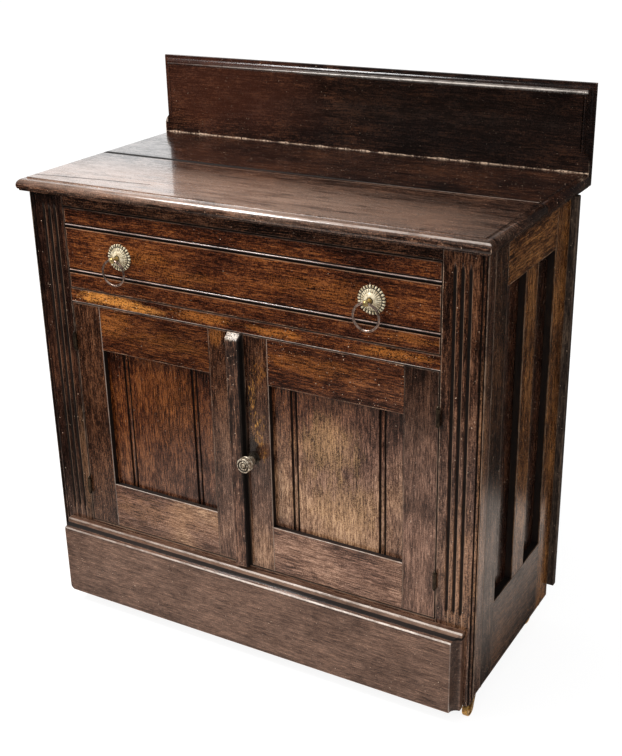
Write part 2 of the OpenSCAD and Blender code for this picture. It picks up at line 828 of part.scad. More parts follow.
// A turned post: ball, neck and collar outside, shank through the front, nut inside
module pull_post() {
  nut_w = 9;
  nut_th = 3;
  difference() {
    union() {
      translate([0, 0, post_reach]) sphere(r = post_ball_r);
      translate([0, 0, rosette_h]) cylinder(r = collar_r, h = 1.6);
      translate([0, 0, rosette_h]) cylinder(r = 2.4, h = post_reach - rosette_h);
      translate([0, 0, -drawer_front_th - nut_th - 1.5]) cylinder(r = shank_r, h = rosette_h + drawer_front_th + nut_th + 2);
    }
    translate([-post_ball_r - over, 0, post_reach]) rotate([0, 90, 0])
      cylinder(r = post_hole_r, h = 2 * post_ball_r + 2 * over);
  }
  translate([0, 0, -drawer_front_th - nut_th]) difference() {
    translate([-nut_w / 2, -nut_w / 2, 0]) cube([nut_w, nut_w, nut_th]);
    translate([0, 0, -over]) cylinder(r = shank_r + bore_play, h = nut_th + 2 * over);
  }
}

module pull_posts() {
  color(brass) both_sides() translate([pull_x, 0, pull_z]) rotate([90, 0, 0]) pull_post();
}

module ring() {
  translate([pull_x, -post_reach, pull_z - ring_r]) rotate([90, 0, 0])
    rotate_extrude() translate([ring_r, 0]) circle(r = wire_r);
}

module right_ring() { color(brass) ring(); }
module left_ring() { color(brass) mirror([1, 0, 0]) ring(); }

// Rebate for the hinge leaves in a door's hinge stile, for the right-hand door
module leaf_rebates() {
  for (z = hinge_z)
    block([right_x1 - leaf_th, -over, z - barrel_l / 2], [right_x1 + over, leaf_w, z + barrel_l / 2]);
}

// Tenons of a door's rails between two stiles
module door_tenons(x0, x1, play = 0) {
  for (z = [[door_z0 + rail_shoulder, door_panel_z0 - rail_shoulder],
    [door_panel_z1 + rail_shoulder, door_z1 - rail_shoulder]])
    block([x0 - tenon_l - play, door_recess - play, z[0] - play],
      [x1 + tenon_l + play, door_recess + door_panel_th + play, z[1] + play]);
}

// Groove that holds a door's panel between two stiles
module door_groove(x0, x1, hold) {
  block([x0 - hold, door_recess, door_panel_z0 - hold],
    [x1 + hold, door_recess + door_panel_th, door_panel_z1 + hold]);
}

module door_stile(x0, x1, open_x0, open_x1) {
  difference() {
    block([x0, 0, door_z0], [x1, door_th, door_z1]);
    door_groove(open_x0, open_x1, groove_hold + groove_room);
    door_tenons(open_x0, open_x1, 0.2);
  }
}

module door_rail(z0, z1, open_x0, open_x1) {
  difference() {
    union() {
      block([open_x0, 0, z0], [open_x1, door_th, z1]);
      intersection() {
        door_tenons(open_x0, open_x1);
        block([open_x0 - tenon_l, 0, z0], [open_x1 + tenon_l, door_th, z1]);
      }
    }
    door_groove(open_x0, open_x1, groove_hold + groove_room);
  }
}

// A door panel with a bead between two deep quirks near each long edge
module door_panel(open_x0, open_x1) {
  difference() {
    door_groove(open_x0, open_x1, groove_hold);
    for (x = [open_x0 + panel_bead_inset, open_x1 - panel_bead_inset])
      run_z(door_panel_z0 - groove_hold - over, door_panel_z1 + groove_hold + over)
        translate([x, door_recess]) bead_cut(panel_bead_w, panel_quirk_w, panel_quirk_depth);
  }
}

left_open_x0 = left_x0 + hinge_stile_w;
left_open_x1 = left_x1 - bead_stile_w;
right_open_x0 = right_x0 + knob_stile_w;
right_open_x1 = right_x1 - hinge_stile_w;

module left_door_hinge_stile() {
  color(mahogany) difference() {
    door_stile(left_x0, left_open_x0, left_open_x0, left_open_x1);
    mirror([1, 0, 0]) leaf_rebates();
  }
}

module left_door_meeting_stile() {
  color(mahogany) door_stile(left_open_x1, left_x1, left_open_x0, left_open_x1);
}

module left_door_top_rail() {
  color(mahogany_light) door_rail(door_panel_z1, door_z1, left_open_x0, left_open_x1);
}

module left_door_foot_rail() {
  color(mahogany_light) door_rail(door_z0, door_panel_z0, left_open_x0, left_open_x1);
}

module left_door_panel() { color(mahogany_light) door_panel(left_open_x0, left_open_x1); }

// The strip that hides the gap between the doors, glued along the left door's free edge
module closing_bead() {
  color(mahogany) difference() {
    run_z(door_z0, door_z1) translate([left_x1 - closing_w, -closing_th]) {
      translate([closing_round, 0]) square([closing_w - 2 * closing_round, closing_th]);
      translate([0, closing_round]) square([closing_w, closing_th - closing_round]);
      for (x = [closing_round, closing_w - closing_round])
        translate([x, closing_round]) circle(r = closing_round);
    }
    run_x(left_x1 - closing_w - over, left_x1 + over) polygon([[-closing_th - over, door_z1 - closing_slope],
      [-closing_th, door_z1 - closing_slope], [-closing_lip, door_z1], [-closing_lip, door_z1 + over],
      [-closing_th - over, door_z1 + over]]);
  }
}

module right_door_hinge_stile() {
  color(mahogany) difference() {
    door_stile(right_open_x1, right_x1, right_open_x0, right_open_x1);
    leaf_rebates();
  }
}

module right_door_meeting_stile() {
  color(mahogany) difference() {
    door_stile(right_x0, right_open_x0, right_open_x0, right_open_x1);
    translate([knob_x, -over, knob_z]) rotate([-90, 0, 0])
      cylinder(r = spindle_r + wood_play, h = door_th + 2 * over);
  }
}

module right_door_top_rail() {
  color(mahogany_light) door_rail(door_panel_z1, door_z1, right_open_x0, right_open_x1);
}

module right_door_foot_rail() {
  color(mahogany_light) door_rail(door_z0, door_panel_z0, right_open_x0, right_open_x1);
}

module right_door_panel() { color(mahogany_light) door_panel(right_open_x0, right_open_x1); }

// A hinge's fixed leaf with its two outer knuckles, on the right-hand post
module fixed_leaf() {
  h = barrel_l / 2;
  difference() {
    union() {
      block([open_x, hinge_y, -h], [open_x + leaf_th, leaf_w, h]);
      translate([hinge_x, hinge_y, -h]) cylinder(r = barrel_r, h = barrel_l);
    }
    translate([hinge_x, hinge_y, -h - over]) cylinder(r = hinge_pin_r, h = barrel_l + 2 * over);
    block([hinge_x - barrel_r - over, hinge_y - barrel_r - over, -knuckle_l / 2 - knuckle_gap],
      [hinge_x + barrel_r + over, 0, knuckle_l / 2 + knuckle_gap]);
  }
}

// A hinge pin with a ball on each end
module hinge_pin() {
  translate([hinge_x, hinge_y, -barrel_l / 2]) {
    cylinder(r = hinge_pin_r, h = barrel_l);
    for (z = [-finial_r + 0.6, barrel_l + finial_r - 0.6]) difference() {
      translate([0, 0, z]) sphere(r = finial_r);
      cylinder(r = 2 * finial_r, h = barrel_l);
    }
  }
}

module frame_hinge_leaves() {
  color(steel) both_sides() for (z = hinge_z) translate([0, 0, z]) {
    fixed_leaf();
    hinge_pin();
  }
}

// A hinge's moving leaf with its middle knuckle, on the right-hand door
module moving_leaf() {
  h = barrel_l / 2;
  difference() {
    union() {
      difference() {
        block([right_x1 - leaf_th, hinge_y, -h], [right_x1, leaf_w, h]);
        for (z = [-knuckle_l / 2 - barrel_l, knuckle_l / 2])
          block([right_x1 - leaf_th - over, hinge_y - over, z], [right_x1 + over, 0, z + barrel_l]);
      }
      translate([hinge_x, hinge_y, -knuckle_l / 2]) cylinder(r = barrel_r, h = knuckle_l);
    }
    translate([hinge_x, hinge_y, -h]) cylinder(r = hinge_pin_r + pin_play, h = barrel_l);
  }
}

module right_door_leaves() { color(steel) for (z = hinge_z) translate([0, 0, z]) moving_leaf(); }
module left_door_leaves() { color(steel) mirror([1, 0, 0]) for (z = hinge_z) translate([0, 0, z]) moving_leaf(); }

// The turned knob, with its neck and the rings on its face, drawn from the door outwards
module turn_knob() {
  drum_z0 = knob_l - drum_h;
  face = knob_l - 1.5;
  color(brass) translate([knob_x, 0, knob_z]) rotate([90, 0, 0]) difference() {
    rotate_extrude() difference() {
      union() {
        square([knob_rose_r, 2]);
        translate([0, 2]) square([knob_rose_r - 1.5, 1.5]);
        square([knob_neck_r, drum_z0]);
        translate([0, drum_z0 - 7]) square([knob_neck_r + 1, 3]);
        translate([0, drum_z0 - 2.5]) square([knob_neck_r + 2, 2.5]);
        translate([0, drum_z0]) square([knob_r - 1.5, face - drum_z0]);
        translate([knob_r - 1.5, drum_z0 + 1.5]) circle(r = 1.5);
        translate([0, drum_z0 + 1.5]) square([knob_r - 0.8, face - drum_z0 - 3]);
        translate([knob_r - 2, face - 0.5]) circle(r = 2);
        translate([knob_r * 0.55, face]) circle(r = 1.1);
        square([knob_r * 0.24, knob_l]);
      }
      translate([knob_r * 0.72, face]) circle(r = 0.9);
      translate([knob_r * 0.37, face]) circle(r = 0.9);
    }
    translate([0, 0, -over]) cylinder(r = spindle_r, h = knob_l / 2 + over);
  }
}

// The spindle with the tongue on its rear end; the tongue hangs down when the doors are free
module turn_tongue() {
  y0 = door_th + tongue_gap;
  color(steel) {
    translate([knob_x, 0, knob_z]) rotate([-90, 0, 0]) translate([0, 0, -knob_l / 2])
      cylinder(r = spindle_r, h = knob_l / 2 + y0 + tongue_th + 2);
    run_y(y0, y0 + tongue_th) translate([knob_x, knob_z]) {
      circle(d = tongue_w);
      translate([-tongue_w / 2, tongue_w / 2 - tongue_l]) square([tongue_w, tongue_l - tongue_w / 2]);
      translate([0, tongue_w / 2 - tongue_l]) circle(d = tongue_w);
    }
  }
}

module caster_plates() {
  color(brass) both_sides() for (y = [caster_y0, caster_y1]) translate([caster_x, y, case_z0 - plate_th])
    difference() {
      cylinder(r = plate_r, h = plate_th);
      translate([0, 0, -over]) cylinder(r = stem_r + bore_play, h = plate_th + 2 * over);
    }
}

// A fork that points its axle outwards; its swivel axis is at 0
module fork() {
  x = wheel_trail;
  top = crown_z1 - crown_th;
  color(brass) {
    translate([0, 0, top]) cylinder(r = cheek_x + cheek_th + 2, h = crown_th);
    translate([0, 0, top]) cylinder(r = stem_r, h = case_z0 + recess_h - over - top);
    translate([0, 0, case_z0 + crown_gap]) cylinder(r = head_r, h = recess_h - over - crown_gap);
    for (s = [-1, 1]) translate([0, s * (cheek_x + cheek_th / 2) + cheek_th / 2, 0]) rotate([90, 0, 0])
      linear_extrude(cheek_th) {
        translate([x, wheel_r]) circle(r = cheek_r);
        polygon([[x - cheek_r, wheel_r], [x + cheek_r, wheel_r], [neck_front, top + 0.5 * crown_th],
          [-neck_back, top + 0.5 * crown_th]]);
      }
    translate([x, cheek_x + cheek_th, wheel_r]) rotate([90, 0, 0])
      cylinder(r = axle_r, h = 2 * (cheek_x + cheek_th));
  }
}

module wheel() {
  color(brass) translate([wheel_trail, 0, wheel_r]) rotate([90, 0, 0]) rotate_extrude() difference() {
    union() {
      translate([axle_r + bore_play, -wheel_w / 2]) square([3, wheel_w]);
      translate([axle_r + bore_play, -wheel_w / 2 + 1.5]) square([wheel_r - 2.5 - axle_r, wheel_w - 3]);
      translate([wheel_r - 2.5, -wheel_w / 2]) square([1.5, wheel_w]);
      translate([wheel_r - 1.5, -wheel_w / 2 + 1.5]) square([1.5, wheel_w - 3]);
      for (s = [-1, 1]) translate([wheel_r - 1.5, s * (wheel_w / 2 - 1.5)]) circle(r = 1.5);
    }
  }
}

// The place of one caster, with its wheel turned
module at_caster(side, y) {
  turn = y < case_d / 2 ? -front_turn : rear_turn;
  translate([side * caster_x, y, 0]) rotate(side > 0 ? turn : 180 - turn) children();
}

module front_left_fork() { at_caster(-1, caster_y0) fork(); }
module front_right_fork() { at_caster(1, caster_y0) fork(); }
module rear_left_fork() { at_caster(-1, caster_y1) fork(); }
module rear_right_fork() { at_caster(1, caster_y1) fork(); }
module front_left_wheel() { at_caster(-1, caster_y0) wheel(); }
module front_right_wheel() { at_caster(1, caster_y0) wheel(); }
module rear_left_wheel() { at_caster(-1, caster_y1) wheel(); }
module rear_right_wheel() { at_caster(1, caster_y1) wheel(); }

placed() top_front_board();
placed() top_rear_board();
placed() splashback();
placed() left_front_post();
placed() right_front_post();
placed() top_rail();
placed() drawer_rail();
placed() foot_rail();
placed() plinth_board();
placed() left_side_stile();
placed() left_rear_stile();
placed() left_side_top_rail();
placed() left_side_foot_rail();
placed() left_side_muntin();
placed() left_side_panels();
placed() right_side_stile();
placed() right_rear_stile();
placed() right_side_top_rail();
placed() right_side_foot_rail();
placed() right_side_muntin();
placed() right_side_panels();
placed() back_boards();
placed() cupboard_floor();
placed() corner_blocks();
placed() drawer_runners();
placed() drawer_kickers();
placed() drawer_front();
placed() drawer_left_side();
placed() drawer_right_side();
placed() drawer_back();
placed() drawer_bottom();
placed() pull_rosettes();
placed() pull_posts();
placed() left_ring();
placed() right_ring();
placed() left_door_hinge_stile();
placed() left_door_meeting_stile();
placed() left_door_top_rail();
placed() left_door_foot_rail();
placed() left_door_panel();
placed() closing_bead();
placed() right_door_hinge_stile();
placed() right_door_meeting_stile();
placed() right_door_top_rail();
placed() right_door_foot_rail();
placed() right_door_panel();
placed() frame_hinge_leaves();
placed() left_door_leaves();
placed() right_door_leaves();
placed() turn_knob();
placed() turn_tongue();
placed() caster_plates();
placed() front_left_fork();
placed() front_right_fork();
placed() rear_left_fork();
placed() rear_right_fork();
placed() front_left_wheel();
placed() front_right_wheel();
placed() rear_left_wheel();
placed() rear_right_wheel();
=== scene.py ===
import json
import math
import random

import bpy
from mathutils import Matrix, Vector

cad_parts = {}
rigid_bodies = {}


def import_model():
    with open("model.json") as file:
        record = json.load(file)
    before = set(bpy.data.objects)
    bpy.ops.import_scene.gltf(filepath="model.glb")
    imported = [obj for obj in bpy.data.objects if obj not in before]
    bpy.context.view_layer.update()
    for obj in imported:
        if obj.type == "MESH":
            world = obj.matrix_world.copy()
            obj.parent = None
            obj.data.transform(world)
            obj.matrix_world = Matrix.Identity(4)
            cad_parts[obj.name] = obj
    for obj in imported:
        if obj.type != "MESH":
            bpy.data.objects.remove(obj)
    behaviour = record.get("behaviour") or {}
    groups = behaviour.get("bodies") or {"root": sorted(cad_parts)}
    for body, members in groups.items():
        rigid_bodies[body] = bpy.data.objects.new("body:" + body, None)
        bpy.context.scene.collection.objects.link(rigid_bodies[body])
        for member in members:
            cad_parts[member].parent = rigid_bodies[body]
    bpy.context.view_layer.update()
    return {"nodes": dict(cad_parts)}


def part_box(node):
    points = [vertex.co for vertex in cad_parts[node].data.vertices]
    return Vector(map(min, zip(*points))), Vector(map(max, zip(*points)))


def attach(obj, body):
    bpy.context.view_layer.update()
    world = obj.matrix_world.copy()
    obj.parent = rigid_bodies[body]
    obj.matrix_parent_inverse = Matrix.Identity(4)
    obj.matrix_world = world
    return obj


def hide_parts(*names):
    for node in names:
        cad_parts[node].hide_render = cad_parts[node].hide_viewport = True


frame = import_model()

NODES = frame["nodes"]
MM = 0.001
# Where the case's front face and the doors stand in the shared frame
FRONT_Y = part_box("left_front_post")[0].y
HALF_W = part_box("right_front_post")[1].x
# The middles of the two ring pulls, from the middle of the drawer
PULLS = (-0.233, 0.233)


# Shader arithmetic

class Value:
    """A shader socket that sums can be written on."""

    def __init__(self, graph, socket):
        self.graph = graph
        self.socket = socket

    def math(self, operation, *others):
        made = self.graph.node("ShaderNodeMath", {"operation": operation}, dict(enumerate((self, *others))))
        return Value(self.graph, made.outputs[0])

    def __add__(self, other):
        return self.math("ADD", other)

    def __radd__(self, other):
        return self.math("ADD", other)

    def __mul__(self, other):
        return self.math("MULTIPLY", other)

    def __rmul__(self, other):
        return self.math("MULTIPLY", other)

    def __sub__(self, other):
        return self.math("SUBTRACT", other)

    def __rsub__(self, other):
        return self.math("MULTIPLY", -1.0).math("ADD", other)

    def lesser(self, other):
        return self.math("MINIMUM", other)

    def greater(self, other):
        return self.math("MAXIMUM", other)

    def size(self):
        return self.math("ABSOLUTE")

    def ramp(self, start, end, low=0.0, high=1.0):
        """low before start, high after end, with a soft step between them."""
        made = self.graph.node("ShaderNodeMapRange", {"interpolation_type": "SMOOTHSTEP"},
                               {"Value": self, "From Min": start, "From Max": end,
                                "To Min": low, "To Max": high})
        return Value(self.graph, made.outputs["Result"])


def hypotenuse(first, second):
    return (first * first + second * second).math("SQRT")


class Graph:
    """The shader nodes of a material or of the world."""

    def __init__(self, owner):
        owner.use_nodes = True
        self.owner = owner
        self.tree = owner.node_tree
        self.tree.nodes.clear()
        self.coordinates = self.node("ShaderNodeTexCoord").outputs
        self.place = self.coordinates["Object"]

    def node(self, kind, settings=None, inputs=None):
        made = self.tree.nodes.new(kind)
        for key, value in (settings or {}).items():
            if key == "stops":
                self.set_stops(made.color_ramp, value)
            else:
                setattr(made, key, value)
        for key, value in (inputs or {}).items():
            if isinstance(value, Value):
                value = value.socket
            if isinstance(value, bpy.types.NodeSocket):
                self.tree.links.new(value, made.inputs[key])
            else:
                made.inputs[key].default_value = value
        return made

    def set_stops(self, ramp, stops):
        while len(ramp.elements) < len(stops):
            ramp.elements.new(1.0)
        for element, (at, colour) in zip(ramp.elements, stops):
            element.position = at
            element.color = (*colour, 1.0)

    def axes(self, vector):
        made = self.node("ShaderNodeSeparateXYZ", None, {"Vector": vector})
        return [Value(self, made.outputs[k]) for k in range(3)]

    def axis(self, letter):
        """How far a point lies along X, Y or Z."""
        return self.axes(self.place)["XYZ".index(letter)]

    def moved(self, scale, offset=(0, 0, 0)):
        made = self.node("ShaderNodeMapping", None,
                         {"Vector": self.place, "Location": offset, "Scale": scale})
        return made.outputs["Vector"]

    def vector(self, operation, first, second=(0, 0, 0)):
        made = self.node("ShaderNodeVectorMath", {"operation": operation}, {0: first, 1: second})
        if operation in ("LENGTH", "DOT_PRODUCT"):
            return Value(self, made.outputs["Value"])
        return made.outputs["Vector"]

    def noise(self, vector, scale, detail=2.0, rough=0.5, distortion=0.0):
        made = self.node("ShaderNodeTexNoise", None,
                         {"Vector": vector, "Scale": scale, "Detail": detail,
                          "Roughness": rough, "Distortion": distortion})
        return Value(self, made.outputs["Fac"])

    def blend(self, factor, first, second):
        """first where factor is 0, second where it is 1; both are colours."""
        first, second = [(*c, 1.0) if isinstance(c, tuple) else c for c in (first, second)]
        made = self.node("ShaderNodeMix", {"data_type": "RGBA"}, {0: factor, 6: first, 7: second})
        return made.outputs[2]

    def bump(self, height, strength, distance):
        made = self.node("ShaderNodeBump", None,
                         {"Height": height, "Strength": strength, "Distance": distance})
        return made.outputs["Normal"]

    def finish(self, inputs):
        shader = self.node("ShaderNodeBsdfPrincipled", None, inputs)
        self.node("ShaderNodeOutputMaterial", None, {"Surface": shader.outputs["BSDF"]})
        return self.owner


def shade(red, green, blue):
    """A colour picked on screen, as the shader's linear light."""
    return tuple(((c / 255 + 0.055) / 1.055) ** 2.4 if c > 10 else c / 255 / 12.92
                 for c in (red, green, blue))


def point(x, z, y=0.0):
    """A point given in millimetres from the case's front face, as the shared frame has it."""
    return (x * MM, FRONT_Y + y * MM, z * MM)


def spot(graph, centre, reach, rag):
    """1 inside an ellipsoid, 0 outside it, with a ragged edge."""
    away = graph.vector("DIVIDE", graph.vector("SUBTRACT", graph.place, centre), reach)
    return (graph.vector("LENGTH", away) + rag).ramp(0.35, 1.15, 1.0, 0.0)


def line_distance(graph, start, end):
    """Distance from the straight line between two points."""
    run = Vector(end) - Vector(start)
    offset = graph.vector("SUBTRACT", graph.place, start)
    along = graph.vector("DOT_PRODUCT", offset, tuple(run / run.length_squared))
    along = along.greater(0.0).lesser(1.0)
    step = graph.node("ShaderNodeVectorMath", {"operation": "SCALE"}, {0: tuple(run), "Scale": along})
    return graph.vector("LENGTH", graph.vector("SUBTRACT", offset, step.outputs["Vector"]))


def edge_distance(graph, low, high):
    """Distance from the nearest arris of a box-shaped piece, for a point on its surface."""
    gaps = []
    for value, a, b in zip(graph.axes(graph.place), low, high):
        gaps.append((value - a).size().lesser((value - b).size()))
    x, y, z = gaps
    return x.greater(y).lesser(y.greater(z)).lesser(x.greater(z))


# Wood

BLACK = shade(7, 3, 2)
SOOT_AND_SHADE = shade(20, 11, 7)
PALE = shade(214, 184, 158)
AMBER = shade(166, 98, 36)
GOLD = shade(196, 126, 54)
HONEY = shade(170, 122, 84)

# Old polished wood, from the pores to the lightest streaks
UMBER = (shade(12, 5, 3), shade(40, 22, 14), shade(66, 40, 27), shade(112, 78, 58))
RED = (shade(14, 3, 1), shade(50, 20, 7), shade(84, 40, 14), shade(140, 80, 34))
STILE = (shade(10, 3, 1), shade(36, 17, 8), shade(66, 36, 19), shade(112, 72, 46))
BROWN = (shade(12, 4, 2), shade(46, 26, 16), shade(80, 51, 35), shade(126, 87, 62))
WARM = (shade(14, 5, 0), shade(56, 29, 9), shade(94, 57, 24), shade(146, 100, 52))
TAN = (shade(20, 7, 1), shade(66, 33, 9), shade(104, 61, 24), shade(152, 102, 52))
SIDE = (shade(8, 2, 0), shade(34, 16, 6), shade(58, 31, 14), shade(104, 66, 36))
DARK = (shade(6, 1, 0), shade(25, 10, 5), shade(43, 21, 12), shade(82, 48, 28))
GREY = (shade(38, 22, 14), shade(78, 53, 40), shade(103, 74, 58), shade(142, 106, 84))
# Lighter tones for the painted sheen of the pale floor on the front
SHEEN_TONES = (shade(42, 22, 14), shade(86, 57, 43), shade(118, 83, 66), shade(172, 132, 110))
GOLD_SHEEN_TONES = (shade(52, 30, 15), shade(106, 73, 48), shade(144, 106, 74), shade(198, 158, 118))
BACK = (shade(22, 16, 13), shade(50, 38, 30), shade(74, 58, 46), shade(110, 90, 72))
PINE = (shade(92, 66, 44), shade(140, 104, 70), shade(170, 132, 92), shade(196, 160, 118))


def recess_dirt_and_shade(graph, face, low, high):
    """1 between the face that a piece shows and its back, for dirt and painted shade in the recesses, and 0
    on both.
    """
    axis, at, inward = face
    back = (high if inward > 0 else low)["XYZ".index(axis)]
    thick = (back - at) * inward
    depth = (graph.axis(axis) - at) * inward
    dark = depth.ramp(0.0006, 0.0024) * depth.ramp(thick - 0.003, thick - 0.0005, 1.0, 0.0)
    if axis == "Y":
        # The posts' outer sides are open to the light
        dark = dark * (graph.axis("X").size() - HALF_W).size().ramp(0.0004, 0.0014)
    return dark


def floor_sheen_spread(graph):
    """How strongly a painted sheen of the pale floor lightens the front, more towards the foot and the right.
    """
    x, _, z = graph.axes(graph.place)
    return (x * 0.8 - (z - 0.36) * 1.8).ramp(-0.30, 0.25)


def wood(name, node, grain, tones, seed, gloss=0.26, coat=0.8, pale=0.6, face=None, rubs=(), marks=(),
         contrast=1.0, specks=0.83, sheen_spread=None, sheen_strength=0.0, sheen_gold=0.3, seam=0.8, bump=0.4):
    """Old polished wood. grain is the axis it runs along; tones go from its pores to its lights."""
    graph = Graph(bpy.data.materials.new(name))
    low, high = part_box(node)
    draw = random.Random(seed)
    offset = [draw.uniform(-9, 9) for _ in range(3)]
    along = "XYZ".index(grain)

    def stretched(amount):
        scale = [1.0, 1.0, 1.0]
        scale[along] = amount
        return graph.moved(scale, offset)

    plain = graph.moved((1, 1, 1), offset)
    streaks = graph.noise(stretched(0.06), 430, 4, 0.6, 0.2)
    bands = graph.noise(stretched(0.05), 110, 3, 0.55, 0.5)
    ticks = graph.noise(stretched(0.14), 700, 2, 0.6)
    mottle = graph.noise(stretched(0.5), 60, 5, 0.7)
    clouds = graph.noise(plain, 9, 3, 0.55)
    fine = graph.noise(plain, 520, 3, 0.65)
    arris = edge_distance(graph, low, high)

    tone = ((streaks - 0.5) * 1.3 + (bands - 0.5) * 0.5 + (ticks - 0.5) * 1.2 + (mottle - 0.5) * 0.5
            + (fine - 0.5) * 1.1 + (clouds - 0.5) * 0.8) * contrast + 0.5
    # Darker towards each arris of the piece: painted shade with dirt at the edges of boards and panels
    tone = tone - arris.ramp(0.0, 0.022, 0.10, 0.0)

    def tinted(palette):
        return graph.node("ShaderNodeValToRGB", {"stops": [
            (0.12, palette[0]), (0.40, palette[1]), (0.60, palette[2]), (0.92, palette[3])]},
            {"Fac": tone}).outputs["Color"]

    colour = tinted(tones)
    # A painted sheen of the pale floor, lighter towards the foot and the right of the front
    if sheen_spread:
        drift = (mottle - 0.5) * 0.5 + (clouds - 0.5) * 0.8 + 1.0
        hue = graph.noise(plain, 9, 2, 0.5).ramp(0.35, 0.65)
        sheened = graph.blend(hue * sheen_gold, tinted(SHEEN_TONES), tinted(GOLD_SHEEN_TONES))
        colour = graph.blend((sheen_spread(graph) * drift * sheen_strength).lesser(1.0), colour, sheened)

    # Rubbed through to the bare wood in broken streaks
    for centre, reach, strength, rub_colour in rubs:
        patch = spot(graph, centre, reach, (mottle - 0.5) * 1.8 + (bands - 0.5) * 0.8)
        broken = (streaks * 0.3 + ticks * 0.2 + fine * 0.5).ramp(0.42, 0.56)
        colour = graph.blend(patch * broken * strength, colour, rub_colour)

    # Pale where the arrises are worn, with a painted highlight on them; black right at each arris, for dirt
    # in the joints and painted shade in their grooves; and small nicks
    worn = (arris + (fine - 0.5) * 0.004 + (mottle - 0.5) * 0.005).ramp(0.0004, 0.0016, 1.0, 0.0)
    colour = graph.blend(worn * pale, colour, graph.blend(0.4, tones[3], PALE))
    joint = (arris + (fine - 0.5) * 0.001).ramp(0.0004, 0.0011, 1.0, 0.0)
    dull = joint * seam
    nicks = graph.noise(plain, 430, 0, 0.5).ramp(specks, specks + 0.03)
    colour = graph.blend(nicks * 0.85, colour, PALE)
    colour = graph.blend(dull, colour, BLACK)
    # Dirt and painted shade in the recesses behind the face
    if face:
        deep = recess_dirt_and_shade(graph, face, low, high)
        colour = graph.blend(deep * 0.95, colour, SOOT_AND_SHADE)
        dull = dull.greater(deep)
    for mark in marks:
        mask, tint, matte = mark(graph, fine)
        colour = graph.blend(mask, colour, tint)
        if matte:
            dull = dull.greater(mask)

    rough = (mottle - 0.5) * 0.25 + (fine - 0.5) * 0.2 + (streaks - 0.5) * 0.15 + gloss + dull * 0.5
    shine = ((mottle - 0.5) * 0.8 + coat) * tone.ramp(0.25, 0.6, 0.3, 1.0) * (1.0 - dull)
    height = streaks * 0.4 + ticks * 0.35 + fine * 0.35 - nicks
    return graph.finish({
        "Base Color": colour,
        "Roughness": rough.lesser(0.95).greater(0.14),
        "Specular IOR Level": 0.3,
        "Coat Weight": shine.greater(0.0).lesser(1.0),
        "Coat Roughness": 0.08,
        "Normal": graph.bump(height, bump, 0.0005),
    })


# Marks of age, painted highlights and painted shade: each gives where it lies, its colour and whether it
# takes the gloss away

def line(start, end, width, strength, tint=PALE, matte=False):
    """A scratch, a rubbed line or a crack between two points; also painted highlights and painted shade along
    mouldings.
    """
    def mark(graph, fine):
        away = line_distance(graph, start, end) + (fine - 0.5) * width * 1.4
        return away.ramp(width * 0.4, width, 1.0, 0.0) * strength, tint, matte
    return mark


def seam_shade(at, left_width, right_width):
    """Painted shade in the open seam between the top's boards, black and without gloss, wider to the left."""
    def mark(graph, fine):
        x, y, _ = graph.axes(graph.place)
        width = x.ramp(-HALF_W, HALF_W, left_width, right_width)
        away = (y - at).size() + (fine - 0.5) * 0.002
        return (away - width).ramp(-0.0006, 0.0006, 1.0, 0.0) * 0.96, BLACK, True
    return mark


def bloom_and_sheen(centre, reach, tint, strength):
    """Dull bloom in the varnish with a painted sheen, streaked along the grain."""
    def mark(graph, fine):
        drift = graph.noise(graph.moved((0.12, 1.0, 1.0)), 70, 4, 0.7, 0.4)
        patch = spot(graph, centre, reach, (drift - 0.5) * 1.7)
        return patch * (drift * 0.8 + fine * 0.5).ramp(0.42, 0.80) * strength, tint, False
    return mark


def black_above(axis, at, inward, strength=0.95):
    """Nearly black from a plane inwards: a recess that light hardly reaches."""
    def mark(graph, fine):
        depth = (graph.axis(axis) - at) * inward
        return depth.ramp(0.0, 0.001) * strength, BLACK, True
    return mark


def black_band(axis, at, half, strength=0.95):
    """Painted shade in a band along a piece: in a quirk, in a hollow or beside a gap."""
    def mark(graph, fine):
        away = (graph.axis(axis) - at).size() + (fine - 0.5) * 0.0006
        return away.ramp(half - 0.0003, half + 0.0003, 1.0, 0.0) * strength, BLACK, True
    return mark


def darker(centre, reach, strength, tint=BLACK):
    """A broad darkening, with a ragged edge, over part of a piece."""
    def mark(graph, fine):
        cloud = graph.noise(graph.place, 12, 3, 0.6)
        return spot(graph, centre, reach, (cloud - 0.5) * 0.9) * strength, tint, False
    return mark


def flecks(start, end, width, strength):
    """A broken line of pale dust or chips between two points."""
    def mark(graph, fine):
        thick = graph.noise(graph.place, 34, 3, 0.6)
        lumps = graph.noise(graph.place, 420, 3, 0.7)
        away = line_distance(graph, start, end) + (thick - 0.5) * width * -5 + (lumps - 0.5) * width * 2
        return away.ramp(width * 0.2, width, 1.0, 0.0) * lumps.ramp(0.40, 0.56) * strength, PALE, False
    return mark


def speckle(centre, reach, tint, strength):
    """Fine flecks of bare wood where fingers have worn the varnish."""
    def mark(graph, fine):
        grains = graph.noise(graph.moved((1.0, 1.0, 0.3)), 330, 5, 0.75)
        patch = spot(graph, centre, reach, (graph.noise(graph.place, 90, 3, 0.7) - 0.5) * 1.8)
        return patch * grains.ramp(0.50, 0.64) * strength, tint, False
    return mark


def black_cove(axes, centre, radius, strength):
    """Painted shade in the middle of a hollow moulding that turns about a line."""
    def mark(graph, fine):
        first, second = [(graph.axis(axis) - at).size() for axis, at in zip(axes, centre)]
        inside = first.lesser(second).ramp(0.0012, 0.0040)
        reach = hypotenuse(first, second).ramp(radius, radius + 0.001, 1.0, 0.0)
        return inside * reach * strength, BLACK, True
    return mark


